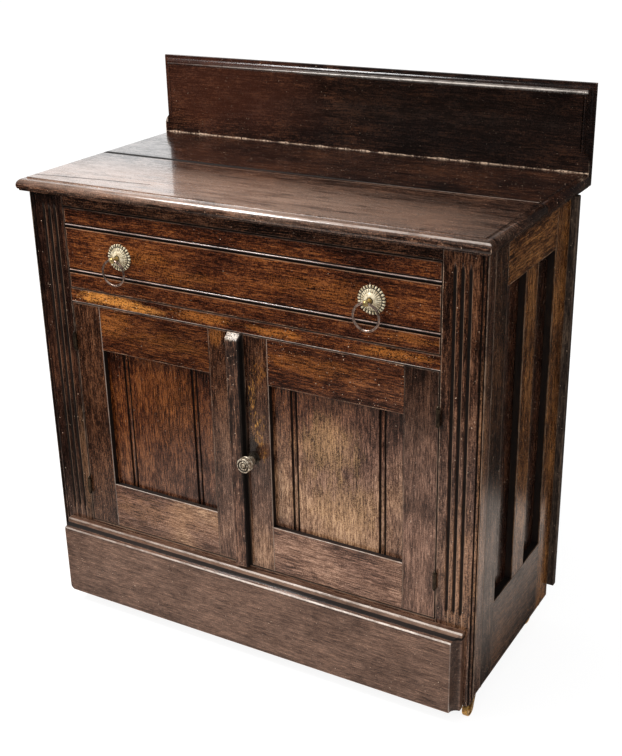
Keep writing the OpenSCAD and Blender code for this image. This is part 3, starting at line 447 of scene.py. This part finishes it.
def painted_highlight(axes, at, width, strength, tint=shade(236, 222, 210), from_left=1.0):
    """A painted highlight along the worn crest of a moulding's arris; from_left is its share at the left-hand
    end.
    """
    def mark(graph, fine):
        gaps = [graph.axis(axis) - value for axis, value in zip(axes, at)]
        away = hypotenuse(*gaps) + (fine - 0.5) * width
        along = graph.axis("X").ramp(-HALF_W, HALF_W * 0.6, from_left, 1.0)
        broken = graph.noise(graph.moved((0.3, 1.0, 0.3)), 90, 4, 0.7).ramp(0.36, 0.56) * 0.6 + 0.4
        return away.ramp(width * 0.5, width, 1.0, 0.0) * along * broken * strength, tint, False
    return mark


def flute_highlights(strength):
    """A painted highlight on the right-hand arris of each flute of the front posts, where the light from the
    left falls, fading where the flute runs out.
    """
    def mark(graph, fine):
        x, _, z = graph.axes(graph.place)
        arrises = [hand * (POST[0].x + FLUTE_START + k * FLUTE_PITCH) + FLUTE_ARRIS
                   for hand in (-1, 1) for k in range(3)]
        away = (x - arrises[0]).size()
        for arris in arrises[1:]:
            away = away.lesser((x - arris).size())
        crest = (away + (fine - 0.5) * 0.0010).ramp(0.0003, 0.0010, 1.0, 0.0)
        foot = POST[0].z + FLUTE_FOOT
        head = POST[1].z - FLUTE_HEAD
        height = z.ramp(foot, foot + 0.02) * z.ramp(head - 0.02, head, 1.0, 0.0)
        broken = graph.noise(graph.moved((1.0, 1.0, 0.3)), 90, 4, 0.7).ramp(0.36, 0.56) * 0.5 + 0.5
        return crest * height * broken * strength, shade(170, 132, 104), False
    return mark


# Where the varnish is rubbed through: middle, reach, strength and the colour of the wood below
RUBS = {
    "drawer_rail": [(point(-262, 617), (0.075, 0.02, 0.013), 1.0, GOLD),
                    (point(-200, 612), (0.060, 0.02, 0.012), 0.9, GOLD),
                    (point(-70, 617), (0.070, 0.02, 0.010), 0.6, AMBER),
                    (point(66, 615), (0.055, 0.02, 0.009), 0.7, AMBER),
                    (point(270, 617), (0.070, 0.02, 0.011), 0.8, AMBER)],
    "drawer_front": [(point(-190, 704), (0.060, 0.02, 0.014), 0.35, AMBER),
                     (point(-110, 680), (0.080, 0.02, 0.014), 0.25, AMBER),
                     (point(170, 700), (0.110, 0.02, 0.020), 0.22, AMBER),
                     (point(290, 645), (0.060, 0.02, 0.010), 0.4, AMBER)],
    "left_door_top_rail": [(point(-265, 575), (0.050, 0.02, 0.026), 0.45, AMBER),
                           (point(-140, 560), (0.080, 0.02, 0.016), 0.3, AMBER)],
    "right_door_top_rail": [(point(120, 570), (0.100, 0.02, 0.020), 0.3, AMBER)],
    "left_door_meeting_stile": [(point(-50, 590), (0.018, 0.02, 0.020), 0.5, AMBER)],
    "left_door_foot_rail": [(point(-180, 225), (0.150, 0.02, 0.030), 0.35, HONEY)],
    "right_door_panel": [(point(150, 430, 10), (0.060, 0.02, 0.060), 0.35, shade(186, 146, 92)),
                         (point(180, 330, 10), (0.070, 0.02, 0.060), 0.3, shade(186, 146, 92))],
    "left_door_panel": [(point(-150, 430, 10), (0.060, 0.02, 0.080), 0.15, AMBER)],
    # The bead's chipped top end: bare wood with a painted highlight on its bevel
    "closing_bead": [(point(-13, 601, -10), (0.020, 0.02, 0.011), 1.0, shade(206, 190, 172))],
    "left_front_post": [(point(-352, 300), (0.010, 0.02, 0.130), 0.3, HONEY)],
    "right_front_post": [(point(384, 240), (0.030, 0.02, 0.160), 0.35, HONEY),
                         (point(412, 400, 2), (0.005, 0.02, 0.300), 0.6, HONEY)],
}

# The face each piece shows, in the form axis, place and way in
FRONT = ("Y", FRONT_Y, 1)
PANEL = ("Y", FRONT_Y + 0.010, 1)
RIGHT_FRAME = ("X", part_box("right_side_stile")[1].x, -1)
LEFT_FRAME = ("X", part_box("left_side_stile")[0].x, 1)
RIGHT_PANEL = ("X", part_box("right_side_panels")[1].x, -1)
LEFT_PANEL = ("X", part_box("left_side_panels")[0].x, 1)

# Places and boxes that the marks are measured from
TOP_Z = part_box("top_front_board")[1].z
SEAM_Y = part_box("top_front_board")[1].y
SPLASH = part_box("splashback")
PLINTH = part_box("plinth_board")
COVE = 0.0135
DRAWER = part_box("drawer_front")
BEADS = (DRAWER[0].z + 0.0305, DRAWER[1].z - 0.0305)
CLOSING_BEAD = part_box("closing_bead")
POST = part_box("right_front_post")
# The flutes' middles from the post's inner edge, and the arris that catches the light from a middle
FLUTE_START = 0.0185
FLUTE_PITCH = 0.012
FLUTE_ARRIS = 0.0031
FLUTE_FOOT = 0.138
FLUTE_HEAD = 0.020
SCRIBE = shade(14, 7, 4)

# How each wooden node is finished, with painted highlights on its crests and painted shade in its quirks,
# hollows and seams
FINISH = {
    "top_front_board": dict(
        grain="X", tones=UMBER, gloss=0.22, coat=0.95, pale=0.8, seam=0.0, bump=0.45, contrast=1.5, marks=[
            painted_highlight("YZ", (SEAM_Y - 0.0024, TOP_Z), 0.0012, 0.6, shade(196, 174, 158), 0.0),
            painted_highlight("YZ", (FRONT_Y - 0.0180, TOP_Z - 0.0050), 0.0026, 0.45, shade(226, 212, 202), 0.0),
            bloom_and_sheen((-0.1, FRONT_Y + 0.04, TOP_Z), (0.6, 0.13, 0.02), shade(156, 126, 108), 0.9),
            seam_shade(SEAM_Y, 0.0060, 0.0012),
            line((-0.410, FRONT_Y + 0.013, TOP_Z), (-0.284, FRONT_Y + 0.029, TOP_Z), 0.0022, 0.9,
                 SCRIBE, True),
            line((-0.284, FRONT_Y + 0.029, TOP_Z), (-0.188, FRONT_Y + 0.037, TOP_Z), 0.0020, 0.8,
                 SCRIBE, True),
            line((-0.30, SEAM_Y - 0.012, TOP_Z), (0.36, SEAM_Y - 0.010, TOP_Z), 0.0014, 0.5,
                 shade(150, 122, 104))]),
    "top_rear_board": dict(grain="X", tones=DARK, gloss=0.22, coat=0.95, pale=0.5, seam=0.0, bump=0.3,
                           contrast=1.2, marks=[seam_shade(SEAM_Y, 0.0060, 0.0012)]),
    "splashback": dict(
        grain="X", tones=DARK, coat=0.45, pale=1.0, seam=0.0, contrast=1.15, marks=[
            darker((0.22, SPLASH[0].y, 0.88), (0.50, 0.1, 0.13), 0.75),
            darker((-0.30, SPLASH[0].y, 0.90), (0.26, 0.1, 0.09), 0.35, shade(78, 40, 26)),
            flecks((-0.42, SPLASH[0].y, 0.8155), (0.42, SPLASH[0].y, 0.8155), 0.0018, 0.9),
            painted_highlight("YZ", (SPLASH[0].y + 0.001, SPLASH[1].z - 0.013), 0.0046, 0.45, shade(176, 166, 158), 0.0),
            painted_highlight("YZ", (SPLASH[0].y + 0.001, SPLASH[1].z - 0.014), 0.0022, 0.75, shade(214, 204, 194), 0.1),
            # A painted highlight on the bead along the splashback's left end, and painted shade in the quirk
            # beside it
            line((SPLASH[0].x + 0.003, SPLASH[0].y, 0.835), (SPLASH[0].x + 0.003, SPLASH[0].y, 0.955),
                 0.0030, 0.8, shade(150, 134, 120)),
            line((SPLASH[0].x + 0.009, SPLASH[0].y, 0.830), (SPLASH[0].x + 0.009, SPLASH[0].y, 0.950),
                 0.0018, 0.7, BLACK)]),
    "left_front_post": dict(grain="Z", tones=DARK, face=FRONT, sheen_spread=floor_sheen_spread, sheen_strength=0.3, specks=0.86,
                            marks=[flute_highlights(0.6)]),
    "right_front_post": dict(grain="Z", tones=STILE, face=FRONT, sheen_spread=floor_sheen_spread, sheen_strength=0.5, pale=0.9,
                             specks=0.86, marks=[flute_highlights(0.6)]),
    # The dark stile tones here also paint the shadow under the top's overhang
    "top_rail": dict(grain="X", tones=STILE, face=FRONT, pale=0.1),
    "drawer_rail": dict(grain="X", tones=RED, face=FRONT, pale=0.4, marks=[
        painted_highlight("YZ", (FRONT_Y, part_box("drawer_rail")[0].z), 0.0014, 0.85, shade(206, 190, 180), 0.7)]),
    "foot_rail": dict(grain="X", tones=BROWN, face=FRONT, pale=0.8, sheen_spread=floor_sheen_spread, sheen_strength=0.5),
    "plinth_board": dict(
        grain="X", tones=GREY, gloss=0.34, coat=0.6, pale=0.5, seam=0.0, contrast=0.75, marks=[
            painted_highlight("YZ", (PLINTH[0].y + 0.0080, PLINTH[1].z - 0.0030), 0.0080, 0.5, shade(158, 128, 108), 0.5),
            black_band("Z", PLINTH[1].z - 0.0096, 0.0024, 0.92),
            black_cove("XY", (PLINTH[1].x, PLINTH[0].y), COVE, 0.45),
            painted_highlight("YZ", (PLINTH[0].y, PLINTH[1].z - COVE), 0.0026, 0.9, from_left=0.35),
            painted_highlight("YZ", (PLINTH[0].y + COVE, PLINTH[1].z), 0.0030, 0.7, from_left=0.35),
            black_band("Z", PLINTH[1].z - COVE - 0.0036, 0.0006, 0.5),
            painted_highlight("XY", (PLINTH[1].x - COVE, PLINTH[0].y), 0.0014, 0.25)]),
    "drawer_front": dict(
        grain="X", tones=RED, face=FRONT, coat=0.95, pale=0.6, contrast=0.9,
        marks=[black_band("Z", z - 0.0018, 0.0026) for z in BEADS]
        + [painted_highlight("YZ", (FRONT_Y + 0.0005, z + 0.0012), 0.0010, 0.75, shade(190, 168, 158)) for z in BEADS]
        + [painted_highlight("YZ", (FRONT_Y, z - 0.0050), 0.0010, 0.5, shade(170, 130, 100)) for z in BEADS]
        + [black_band("Z", DRAWER[1].z, 0.0015, 0.5)]),
    "left_door_panel": dict(grain="Z", tones=RED, face=PANEL, sheen_spread=floor_sheen_spread, sheen_strength=0.45, sheen_gold=0.4, marks=[
        darker(point(-170, 400, 10), (0.200, 0.05, 0.200), 0.18)]),
    "right_door_panel": dict(grain="Z", tones=RED, face=PANEL, sheen_spread=floor_sheen_spread, sheen_strength=1.15, sheen_gold=0.7,
                             gloss=0.3),
    "closing_bead": dict(
        grain="Z", tones=BROWN, coat=0.15, pale=0.7, gloss=0.5, seam=0.0, sheen_spread=floor_sheen_spread, sheen_strength=0.8, marks=[
            painted_highlight("XY", CLOSING_BEAD[0][:2], 0.0014, 0.8, shade(190, 162, 144)),
            black_above("X", CLOSING_BEAD[1].x - 0.0035, 1)]),
    "left_side_panels": dict(grain="Z", tones=DARK, face=LEFT_PANEL),
    "right_side_panels": dict(grain="Z", tones=DARK, face=RIGHT_PANEL),
    "back_boards": dict(grain="Z", tones=BACK, gloss=0.62, coat=0.0, pale=0.5),
}
# The doors' stiles and rails, whose grain and face follow from their names
DOORS = {
    "left_door_hinge_stile": dict(tones=STILE, sheen_strength=0.15, marks=[
        painted_highlight("XY", (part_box("left_door_hinge_stile")[1].x, FRONT_Y), 0.0009, 0.35, shade(214, 196, 184))]),
    "left_door_meeting_stile": dict(tones=STILE, sheen_strength=0.8),
    "right_door_meeting_stile": dict(tones=STILE, sheen_strength=0.75, sheen_gold=0.5, marks=[
        painted_highlight("XY", (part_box("right_door_meeting_stile")[1].x, FRONT_Y), 0.0009, 0.4, shade(200, 176, 158)),
        # Painted shadow round the knob's base
        darker(point(12, 400), (0.016, 0.02, 0.030), 0.85),
        speckle(point(15, 486), (0.008, 0.02, 0.060), shade(186, 128, 58), 0.8),
        speckle(point(24, 440), (0.016, 0.02, 0.030), shade(196, 138, 64), 0.75),
        speckle(point(32, 405), (0.010, 0.02, 0.026), shade(190, 132, 66), 0.8),
        speckle(point(30, 545), (0.014, 0.02, 0.030), shade(176, 112, 46), 0.6)]),
    "right_door_hinge_stile": dict(tones=STILE, sheen_strength=0.6, sheen_gold=0.0, contrast=0.85, marks=[
        darker(point(300, 560), (0.080, 0.05, 0.150), 0.45)]),
    "left_door_top_rail": dict(tones=RED, sheen_strength=0.6, sheen_gold=0.5, marks=[
        darker(point(-120, 560), (0.150, 0.05, 0.060), 0.30)]),
    "right_door_top_rail": dict(tones=RED, sheen_strength=0.5, marks=[
        darker(point(180, 560), (0.160, 0.05, 0.060), 0.15)]),
    "left_door_foot_rail": dict(tones=RED, sheen_strength=1.15, sheen_gold=0.7, marks=[
        painted_highlight("YZ", (FRONT_Y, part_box("left_door_foot_rail")[1].z), 0.0011, 0.4)]),
    "right_door_foot_rail": dict(tones=RED, sheen_strength=0.95, sheen_gold=0.15, marks=[
        painted_highlight("YZ", (FRONT_Y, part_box("right_door_foot_rail")[1].z), 0.0011, 0.5)]),
}
for node, look in DOORS.items():
    grain, pale = ("Z", 0.5) if node.endswith("stile") else ("X", 0.7)
    FINISH[node] = dict(grain=grain, pale=pale, face=FRONT, sheen_spread=floor_sheen_spread, **look)
for hand, shown, light in (("left", LEFT_FRAME, WARM), ("right", RIGHT_FRAME, TAN)):
    for node, grain, tones in (("side_stile", "Z", SIDE), ("rear_stile", "Z", light),
                               ("side_muntin", "Z", light), ("side_top_rail", "Y", light),
                               ("side_foot_rail", "Y", SIDE)):
        FINISH[f"{hand}_{node}"] = dict(grain=grain, tones=tones, face=shown, coat=0.7, pale=0.8,
                                        contrast=1.3)


def dress(node, material):
    bpy.data.objects[node].data.materials.clear()
    bpy.data.objects[node].data.materials.append(material)


def ease(node, radius=0.0007):
    """Take the sharpness off a piece's arrises with a small rounding."""
    piece = bpy.data.objects[node]
    weld = piece.modifiers.new("weld", "WELD")
    weld.merge_threshold = 0.00002
    flat = piece.modifiers.new("flat", "DECIMATE")
    flat.decimate_type = "DISSOLVE"
    flat.angle_limit = math.radians(0.5)
    round_off = piece.modifiers.new("ease", "BEVEL")
    round_off.width = radius
    round_off.segments = 2
    round_off.limit_method = "ANGLE"
    round_off.angle_limit = math.radians(50)
    round_off.harden_normals = False


# The pieces that show, and then the bare ones inside
for number, (node, finish) in enumerate(FINISH.items()):
    dress(node, wood("wood_" + node, node, seed=40 + number, rubs=RUBS.get(node, ()), **finish))
    ease(node, 0.0018 if node == "plinth_board" else 0.0007)
for number, node in enumerate(("cupboard_floor", "corner_blocks", "drawer_runners", "drawer_kickers",
                               "drawer_left_side", "drawer_right_side", "drawer_back", "drawer_bottom")):
    grain = "X" if node in ("cupboard_floor", "drawer_back", "drawer_bottom") else "Y"
    dress(node, wood("pine_" + node, node, grain, PINE, 80 + number, 0.6, 0.0, 0.3, contrast=0.7,
                     specks=0.9, seam=0.4))
    ease(node)


# Metal

KNOB_R = 0.013
PULL_Z = (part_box("left_ring")[0].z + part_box("left_ring")[1].z) / 2 + 0.0215
LOBES = 26


def metal(name, bright, dull, deep, rough):
    """Old brass or iron, clouded, with dirt in its pits."""
    graph = Graph(bpy.data.materials.new(name))
    cloud = graph.noise(graph.place, 140, 4, 0.6)
    grain = graph.noise(graph.place, 840, 2, 0.5)
    colour = graph.blend(cloud.ramp(0.38, 0.64), bright, dull)
    colour = graph.blend(grain.ramp(0.56, 0.74) * 0.6, colour, deep)
    return graph.finish({
        "Base Color": colour,
        "Metallic": 0.75,
        "Roughness": (cloud - 0.5) * 0.4 + rough,
        "Normal": graph.bump(cloud + grain * 0.5, 0.25, 0.0004),
    })


def knob_metal():
    """Aged brass, black in the turned grooves and towards the door."""
    graph = Graph(bpy.data.materials.new("knob_brass"))
    x, y, z = graph.axes(graph.place)
    low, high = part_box("turn_knob")
    out = hypotenuse(x - (low.x + high.x) / 2, z - (low.z + high.z) / 2)
    front = y - low.y
    cloud = graph.noise(graph.place, 260, 4, 0.65)
    colour = graph.blend(cloud.ramp(0.40, 0.58), shade(228, 214, 192), shade(104, 88, 68))
    groove = (out - KNOB_R * 0.72).size().lesser((out - KNOB_R * 0.37).size()).ramp(0.0007, 0.0013, 1.0, 0.0)
    groove = groove * front.ramp(0.0030, 0.0036, 1.0, 0.0)
    neck = front.ramp(0.0105, 0.0125) * front.ramp(0.0160, 0.0175, 1.0, 0.0) + front.ramp(0.0225, 0.0260)
    deep = groove.greater(neck.lesser(1.0)).greater(cloud.ramp(0.60, 0.70) * 0.7)
    colour = graph.blend(deep * 0.92, colour, shade(20, 14, 10))
    return graph.finish({
        "Base Color": colour,
        "Metallic": 0.6,
        "Roughness": (cloud - 0.5) * 0.5 + 0.30,
        "Normal": graph.bump(cloud, 0.4, 0.0005),
    })


def rosette_metal():
    """Stamped brass, bright on its lobes and dome and black between them and around the post."""
    graph = Graph(bpy.data.materials.new("rosette_brass"))
    x, _, z = graph.axes(graph.place)
    across = x.size() - PULLS[1]
    up = z - PULL_Z
    out = hypotenuse(across, up)
    turn = up.math("ARCTAN2", across * x.math("SIGN"))
    cloud = graph.noise(graph.place, 180, 4, 0.6)
    grain = graph.noise(graph.place, 900, 2, 0.5)
    colour = graph.blend(cloud.ramp(0.36, 0.66), shade(238, 224, 192), shade(164, 144, 108))
    colour = graph.blend(grain.ramp(0.55, 0.72) * 0.4, colour, shade(84, 66, 46))
    lobes = (turn * LOBES).math("COSINE")
    gaps = lobes.ramp(-0.35, 0.05, 1.0, 0.0) * out.ramp(0.0180, 0.0186)
    ribs = lobes.ramp(-0.75, -0.15, 1.0, 0.0) * out.ramp(0.0080, 0.0130)
    ribs = ribs * out.ramp(0.0166, 0.0172, 1.0, 0.0) * 0.8
    groove = out.ramp(0.0168, 0.0174) * out.ramp(0.0182, 0.0187, 1.0, 0.0)
    hollow = out.ramp(0.0046, 0.0060, 1.0, 0.0)
    deep = gaps.greater(ribs).greater(groove).greater(hollow)
    colour = graph.blend(deep * 0.96, colour, shade(14, 10, 7))
    return graph.finish({
        "Base Color": colour,
        "Metallic": 0.25,
        "Roughness": (cloud - 0.5) * 0.3 + 0.58,
        "Normal": graph.bump(cloud + grain * 0.5, 0.25, 0.0004),
    })


ring_brass = metal("ring_brass", shade(182, 156, 142), shade(96, 79, 69), shade(40, 31, 26), 0.26)
post_brass = metal("post_brass", shade(214, 188, 128), shade(150, 124, 78), shade(50, 38, 24), 0.38)
knob_brass = knob_metal()
rosette_brass = rosette_metal()
hinge_brass = metal("hinge_brass", shade(72, 60, 46), shade(40, 32, 25), shade(16, 12, 9), 0.32)
iron = metal("iron", shade(78, 74, 70), shade(50, 46, 43), shade(24, 20, 18), 0.55)
caster_brass = metal("caster_brass", shade(214, 172, 98), shade(140, 106, 58), shade(44, 32, 20), 0.34)

dress("pull_posts", post_brass)
for node in ("left_ring", "right_ring"):
    dress(node, ring_brass)
dress("turn_knob", knob_brass)
for node in ("frame_hinge_leaves", "left_door_leaves", "right_door_leaves"):
    dress(node, hinge_brass)
dress("turn_tongue", iron)
for node in NODES:
    if node.startswith("caster") or node.endswith("_fork") or node.endswith("_wheel"):
        dress(node, caster_brass)


# Brass that Blender models: the rosettes and the screws

def start_piece(name):
    """Name the primitive just added, put its place in its mesh and open it for shaping."""
    piece = bpy.context.object
    piece.name = name
    piece.data.name = name
    bpy.ops.object.transform_apply(location=True, rotation=True, scale=True)
    bpy.ops.object.mode_set(mode="EDIT")
    return piece


def pick(piece, test):
    """Select the corners of an open piece that pass a test on their place."""
    bpy.ops.mesh.select_mode(type="VERT")
    bpy.ops.mesh.select_all(action="DESELECT")
    bpy.ops.object.mode_set(mode="OBJECT")
    for vertex in piece.data.vertices:
        vertex.select = test(vertex.co)
    bpy.ops.object.mode_set(mode="EDIT")


# A rosette's profile: radius and height above the drawer front, in millimetres
ROSETTE = ((23.0, 1.3), (22.3, 2.0), (20.8, 2.5), (18.9, 2.2), (17.9, 1.2), (17.0, 2.4), (14.8, 3.6),
           (12.6, 4.2), (12.1, 3.6), (11.2, 4.7), (9.0, 5.9), (6.6, 6.7), (5.2, 6.8), (4.6, 5.0))
# How far each of its rings sinks between the lobes or ribs, in millimetres
SUNK = {22.3: 1.5, 20.8: 1.9, 18.9: 1.3, 17.0: 0.6, 14.8: 1.0, 12.6: 0.7}


def rosette(name, x):
    """Stamped rosette: a rim of round lobes, a ring of ribs and a dome with a hollow for the post."""
    middle = (x, FRONT_Y, PULL_Z)
    corners = LOBES * 4
    base = ROSETTE[0]
    bpy.ops.object.select_all(action="DESELECT")
    bpy.ops.mesh.primitive_cylinder_add(vertices=corners, radius=base[0] * MM, depth=base[1] * MM,
                                        location=(x, FRONT_Y - base[1] * MM / 2, PULL_Z),
                                        rotation=(math.pi / 2, 0, 0))
    piece = start_piece(name)
    pick(piece, lambda at: at.y < FRONT_Y - base[1] * MM * 0.9)
    for (radius, height), (before, low) in zip(ROSETTE[1:], ROSETTE):
        bpy.ops.mesh.extrude_region_move(TRANSFORM_OT_translate={"value": (0, (low - height) * MM, 0)})
        share = radius / before
        bpy.ops.transform.resize(value=(share, 1, share), center_override=middle)
    step = 2 * math.pi / corners

    def ring(at):
        away = math.hypot(at.x - x, at.z - PULL_Z) / MM
        part = round(math.atan2(at.z - PULL_Z, at.x - x) / step) % 4
        return away, part

    for radius, sink in SUNK.items():
        for part, share in ((2, 1.0), (1, 0.25), (3, 0.25)):
            pick(piece, lambda at: abs(ring(at)[0] - radius) < 0.1 and ring(at)[1] == part)
            bpy.ops.transform.translate(value=(0, sink * share * MM, 0))
    for part, share in ((2, 0.955), (1, 0.985), (3, 0.985)):
        pick(piece, lambda at: ring(at)[0] > 21.8 and ring(at)[1] == part)
        bpy.ops.transform.resize(value=(share, 1, share), center_override=middle)
    bpy.ops.object.mode_set(mode="OBJECT")
    bpy.ops.object.shade_smooth_by_angle(angle=math.radians(60))
    piece.data.materials.append(rosette_brass)
    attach(piece, "drawer")
    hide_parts("pull_rosettes")


rosette("left_rosette", PULLS[0])
rosette("right_rosette", PULLS[1])


def screw_head(name, radius):
    """A slotted countersunk head that shows 0.3 mm, with its face towards +X at the origin."""
    bpy.ops.object.select_all(action="DESELECT")
    bpy.ops.mesh.primitive_cylinder_add(vertices=24, radius=radius, depth=0.0016,
                                        location=(-0.0005, 0, 0), rotation=(0, math.pi / 2, 0))
    piece = start_piece(name)
    pick(piece, lambda at: at.x > 0)
    bpy.ops.mesh.inset(thickness=radius * 0.25)
    bpy.ops.transform.translate(value=(0.00012, 0, 0))
    bpy.ops.object.mode_set(mode="OBJECT")
    bpy.ops.object.select_all(action="DESELECT")
    bpy.ops.mesh.primitive_cube_add(size=1, location=(0.0006, 0, 0))
    slot = bpy.context.object
    slot.scale = (0.0012, radius * 2.4, radius * 0.24)
    bpy.context.view_layer.objects.active = piece
    cut = piece.modifiers.new("slot", "BOOLEAN")
    cut.operation = "DIFFERENCE"
    cut.object = slot
    bpy.ops.object.modifier_apply(modifier="slot")
    bpy.data.objects.remove(slot)
    return piece


def screws(name, body, radius, places, material):
    """Copies of one head, joined: places holds each head's middle, the way it faces and its turn."""
    model = screw_head(name, radius)
    heads = []
    for at, facing, turn in places:
        head = model.copy()
        head.data = model.data.copy()
        bpy.context.collection.objects.link(head)
        way = Vector(facing).to_track_quat("X", "Z").to_matrix().to_4x4()
        head.data.transform(Matrix.Translation(at) @ way @ Matrix.Rotation(turn, 4, "X"))
        heads.append(head)
    bpy.data.objects.remove(model)
    bpy.ops.object.select_all(action="DESELECT")
    for head in heads:
        head.select_set(True)
    bpy.context.view_layer.objects.active = heads[0]
    bpy.ops.object.join()
    piece = bpy.context.object
    piece.name = name
    piece.data.materials.append(material)
    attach(piece, body)


# Where the hinges' screws sit: into the piece, from the leaves' ends and to either side of that
SCREW_IN = 0.0075
SCREW_END = 0.0135
SCREW_STEP = 0.008
LEAF_THICK = 0.0015
turns = random.Random(7)
for hand, side in (("left", -1), ("right", 1)):
    on_door = []
    on_post = []
    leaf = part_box(hand + "_door_leaves")
    edge = leaf[1].x if side > 0 else leaf[0].x
    post_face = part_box("frame_hinge_leaves")[1].x * side - side * LEAF_THICK
    for z in (leaf[0].z + SCREW_END, leaf[1].z - SCREW_END):
        for step in (-SCREW_STEP, SCREW_STEP):
            y = FRONT_Y + SCREW_IN
            on_door.append(((edge, y, z + step), (side, 0, 0), turns.uniform(0, 3)))
            on_post.append(((post_face, y, z + step), (-side, 0, 0), turns.uniform(0, 3)))
    screws(hand + "_door_hinge_screws", hand + "_door", 0.0024, on_door, hinge_brass)
    screws(hand + "_post_hinge_screws", "carcass", 0.0024, on_post, hinge_brass)

# Three screws around each caster's stem, in the underside of its plate
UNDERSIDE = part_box("caster_plates")[0].z
CASTER_X = 0.399
CASTER_FRONT = 0.034
CASTER_REAR = 0.303
SCREW_RING = 0.0108
plate_screws = []
for y in (FRONT_Y + CASTER_FRONT, FRONT_Y + CASTER_REAR):
    for x in (-CASTER_X, CASTER_X):
        for degrees in (90, 210, 330):
            a = math.radians(degrees)
            at = (x + SCREW_RING * math.cos(a), y + SCREW_RING * math.sin(a), UNDERSIDE)
            plate_screws.append((at, (0, 0, -1), turns.uniform(0, 3)))
screws("caster_plate_screws", "carcass", 0.0022, plate_screws, caster_brass)


# Stage, light and camera

def emission(graph, colour, strength):
    return graph.node("ShaderNodeEmission", None, {"Color": (*colour, 1.0), "Strength": strength}).outputs[0]


def backdrop(graph, strength):
    return graph.node("ShaderNodeBackground", None, {"Color": (1, 1, 1, 1), "Strength": strength}).outputs[0]


def mixed(graph, factor, first, second):
    return graph.node("ShaderNodeMixShader", None, {0: factor, 1: first, 2: second}).outputs[0]


def floor_material():
    """White for the camera; for reflections a floor that is pale in front and to the right."""
    graph = Graph(bpy.data.materials.new("studio_floor"))
    path = graph.node("ShaderNodeLightPath")
    camera_ray = Value(graph, path.outputs["Is Camera Ray"])
    glossy_ray = Value(graph, path.outputs["Is Glossy Ray"])
    diffuse = graph.node("ShaderNodeBsdfDiffuse", None, {"Color": (0.8, 0.8, 0.8, 1.0)}).outputs[0]
    x, y, _ = graph.axes(graph.place)
    front = x.ramp(-0.85, -0.35) * (y - FRONT_Y).ramp(-1.15, -0.65)
    rear = (y - FRONT_Y).ramp(0.68, 0.80, 1.0, 0.0)
    right = x.ramp(0.40, 0.43)
    beside = x.ramp(0.43, 0.56) * 0.6
    pale = front * rear * (right * (beside - 0.8) + 0.8)
    seen = mixed(graph, camera_ray * 0.7, diffuse, emission(graph, (1, 1, 1), 1.25))
    reflected = emission(graph, (1.0, 0.86, 0.76), pale + 0.04)
    surface = mixed(graph, glossy_ray, seen, reflected)
    graph.node("ShaderNodeOutputMaterial", None, {"Surface": surface})
    return graph.owner


bpy.ops.object.select_all(action="DESELECT")
bpy.ops.mesh.primitive_plane_add(size=24.0, location=(0, 0, 0))
floor = bpy.context.object
floor.name = "studio_floor"
floor.data.materials.append(floor_material())


def studio_world():
    """White for the camera, a lit room for reflections and soft light for everything else."""
    world = bpy.data.worlds.new("studio")
    graph = Graph(world)
    path = graph.node("ShaderNodeLightPath")
    x, y, z = graph.axes(graph.coordinates["Generated"])
    # Reflections find a window behind the cabinet's left, a grey room behind and a dim one in front
    round_left = (x * -1.0).math("ARCTAN2", y)
    window = round_left.ramp(0.58, 0.64) * round_left.ramp(0.95, 1.15, 1.0, 0.0) * z.ramp(0.6, 0.75, 1.0, 0.0)
    behind = y.ramp(0.0, 0.2) * x.ramp(-0.25, 0.0, 1.0, 0.0) * 0.22
    room = y.ramp(-0.15, 0.1, 1.0, 0.0) * z.ramp(0.0, 0.3) * 0.2
    mirrored = backdrop(graph, window * 1.08 + behind + room + 0.03)
    # Diffuse light falls mostly from the front and the left
    ahead_left = (x * -0.5 - y * 0.8 + z * 0.35).ramp(-0.3, 1.0)
    soft = backdrop(graph, ahead_left * 0.75 + x.ramp(0.0, 1.0) * 0.7 + 0.25)
    shown = mixed(graph, Value(graph, path.outputs["Is Glossy Ray"]), soft, mirrored)
    shown = mixed(graph, Value(graph, path.outputs["Is Camera Ray"]), shown, backdrop(graph, 1.0))
    graph.node("ShaderNodeOutputWorld", None, {"Surface": shown})
    return world


bpy.context.scene.world = studio_world()


def lamp(name, at, towards, width, height, power):
    """A soft rectangular lamp."""
    light = bpy.data.lights.new(name, "AREA")
    light.shape = "RECTANGLE"
    light.size = width
    light.size_y = height
    light.energy = power
    holder = bpy.data.objects.new(name, light)
    bpy.context.collection.objects.link(holder)
    holder.location = at
    holder.rotation_euler = (Vector(towards) - Vector(at)).to_track_quat("-Z", "Y").to_euler()


lamp("overhead", (-1.22, -1.0, 2.6), (0, 0, 0.6), 1.0, 0.8, 75)

# The camera stands where the photograph was taken from, above the cabinet's right front corner.
# Its turns are in radians, its focal length in pixels of a picture 622 wide.
CAMERA_AT = (1.0111, FRONT_Y - 1.5073, 1.2896)
YAW = 0.5306
PITCH = 0.3998
ROLL = -0.022
FOCAL_PIXELS = 1222.0
PICTURE_WIDTH = 622
ahead = Vector((-math.sin(YAW) * math.cos(PITCH), math.cos(YAW) * math.cos(PITCH), -math.sin(PITCH)))
level = Vector((math.cos(YAW), math.sin(YAW), 0))
raised = level.cross(ahead)
right = level * math.cos(ROLL) + raised * math.sin(ROLL)
up = raised * math.cos(ROLL) - level * math.sin(ROLL)
lens = bpy.data.cameras.new("camera")
camera = bpy.data.objects.new("camera", lens)
bpy.context.collection.objects.link(camera)
camera.matrix_world = Matrix.Translation(CAMERA_AT) @ Matrix((right, up, -ahead)).transposed().to_4x4()
lens.sensor_fit = "HORIZONTAL"
lens.sensor_width = 36.0
lens.lens = FOCAL_PIXELS * lens.sensor_width / PICTURE_WIDTH
bpy.context.scene.camera = camera
bpy.context.scene.view_settings.view_transform = "Standard"
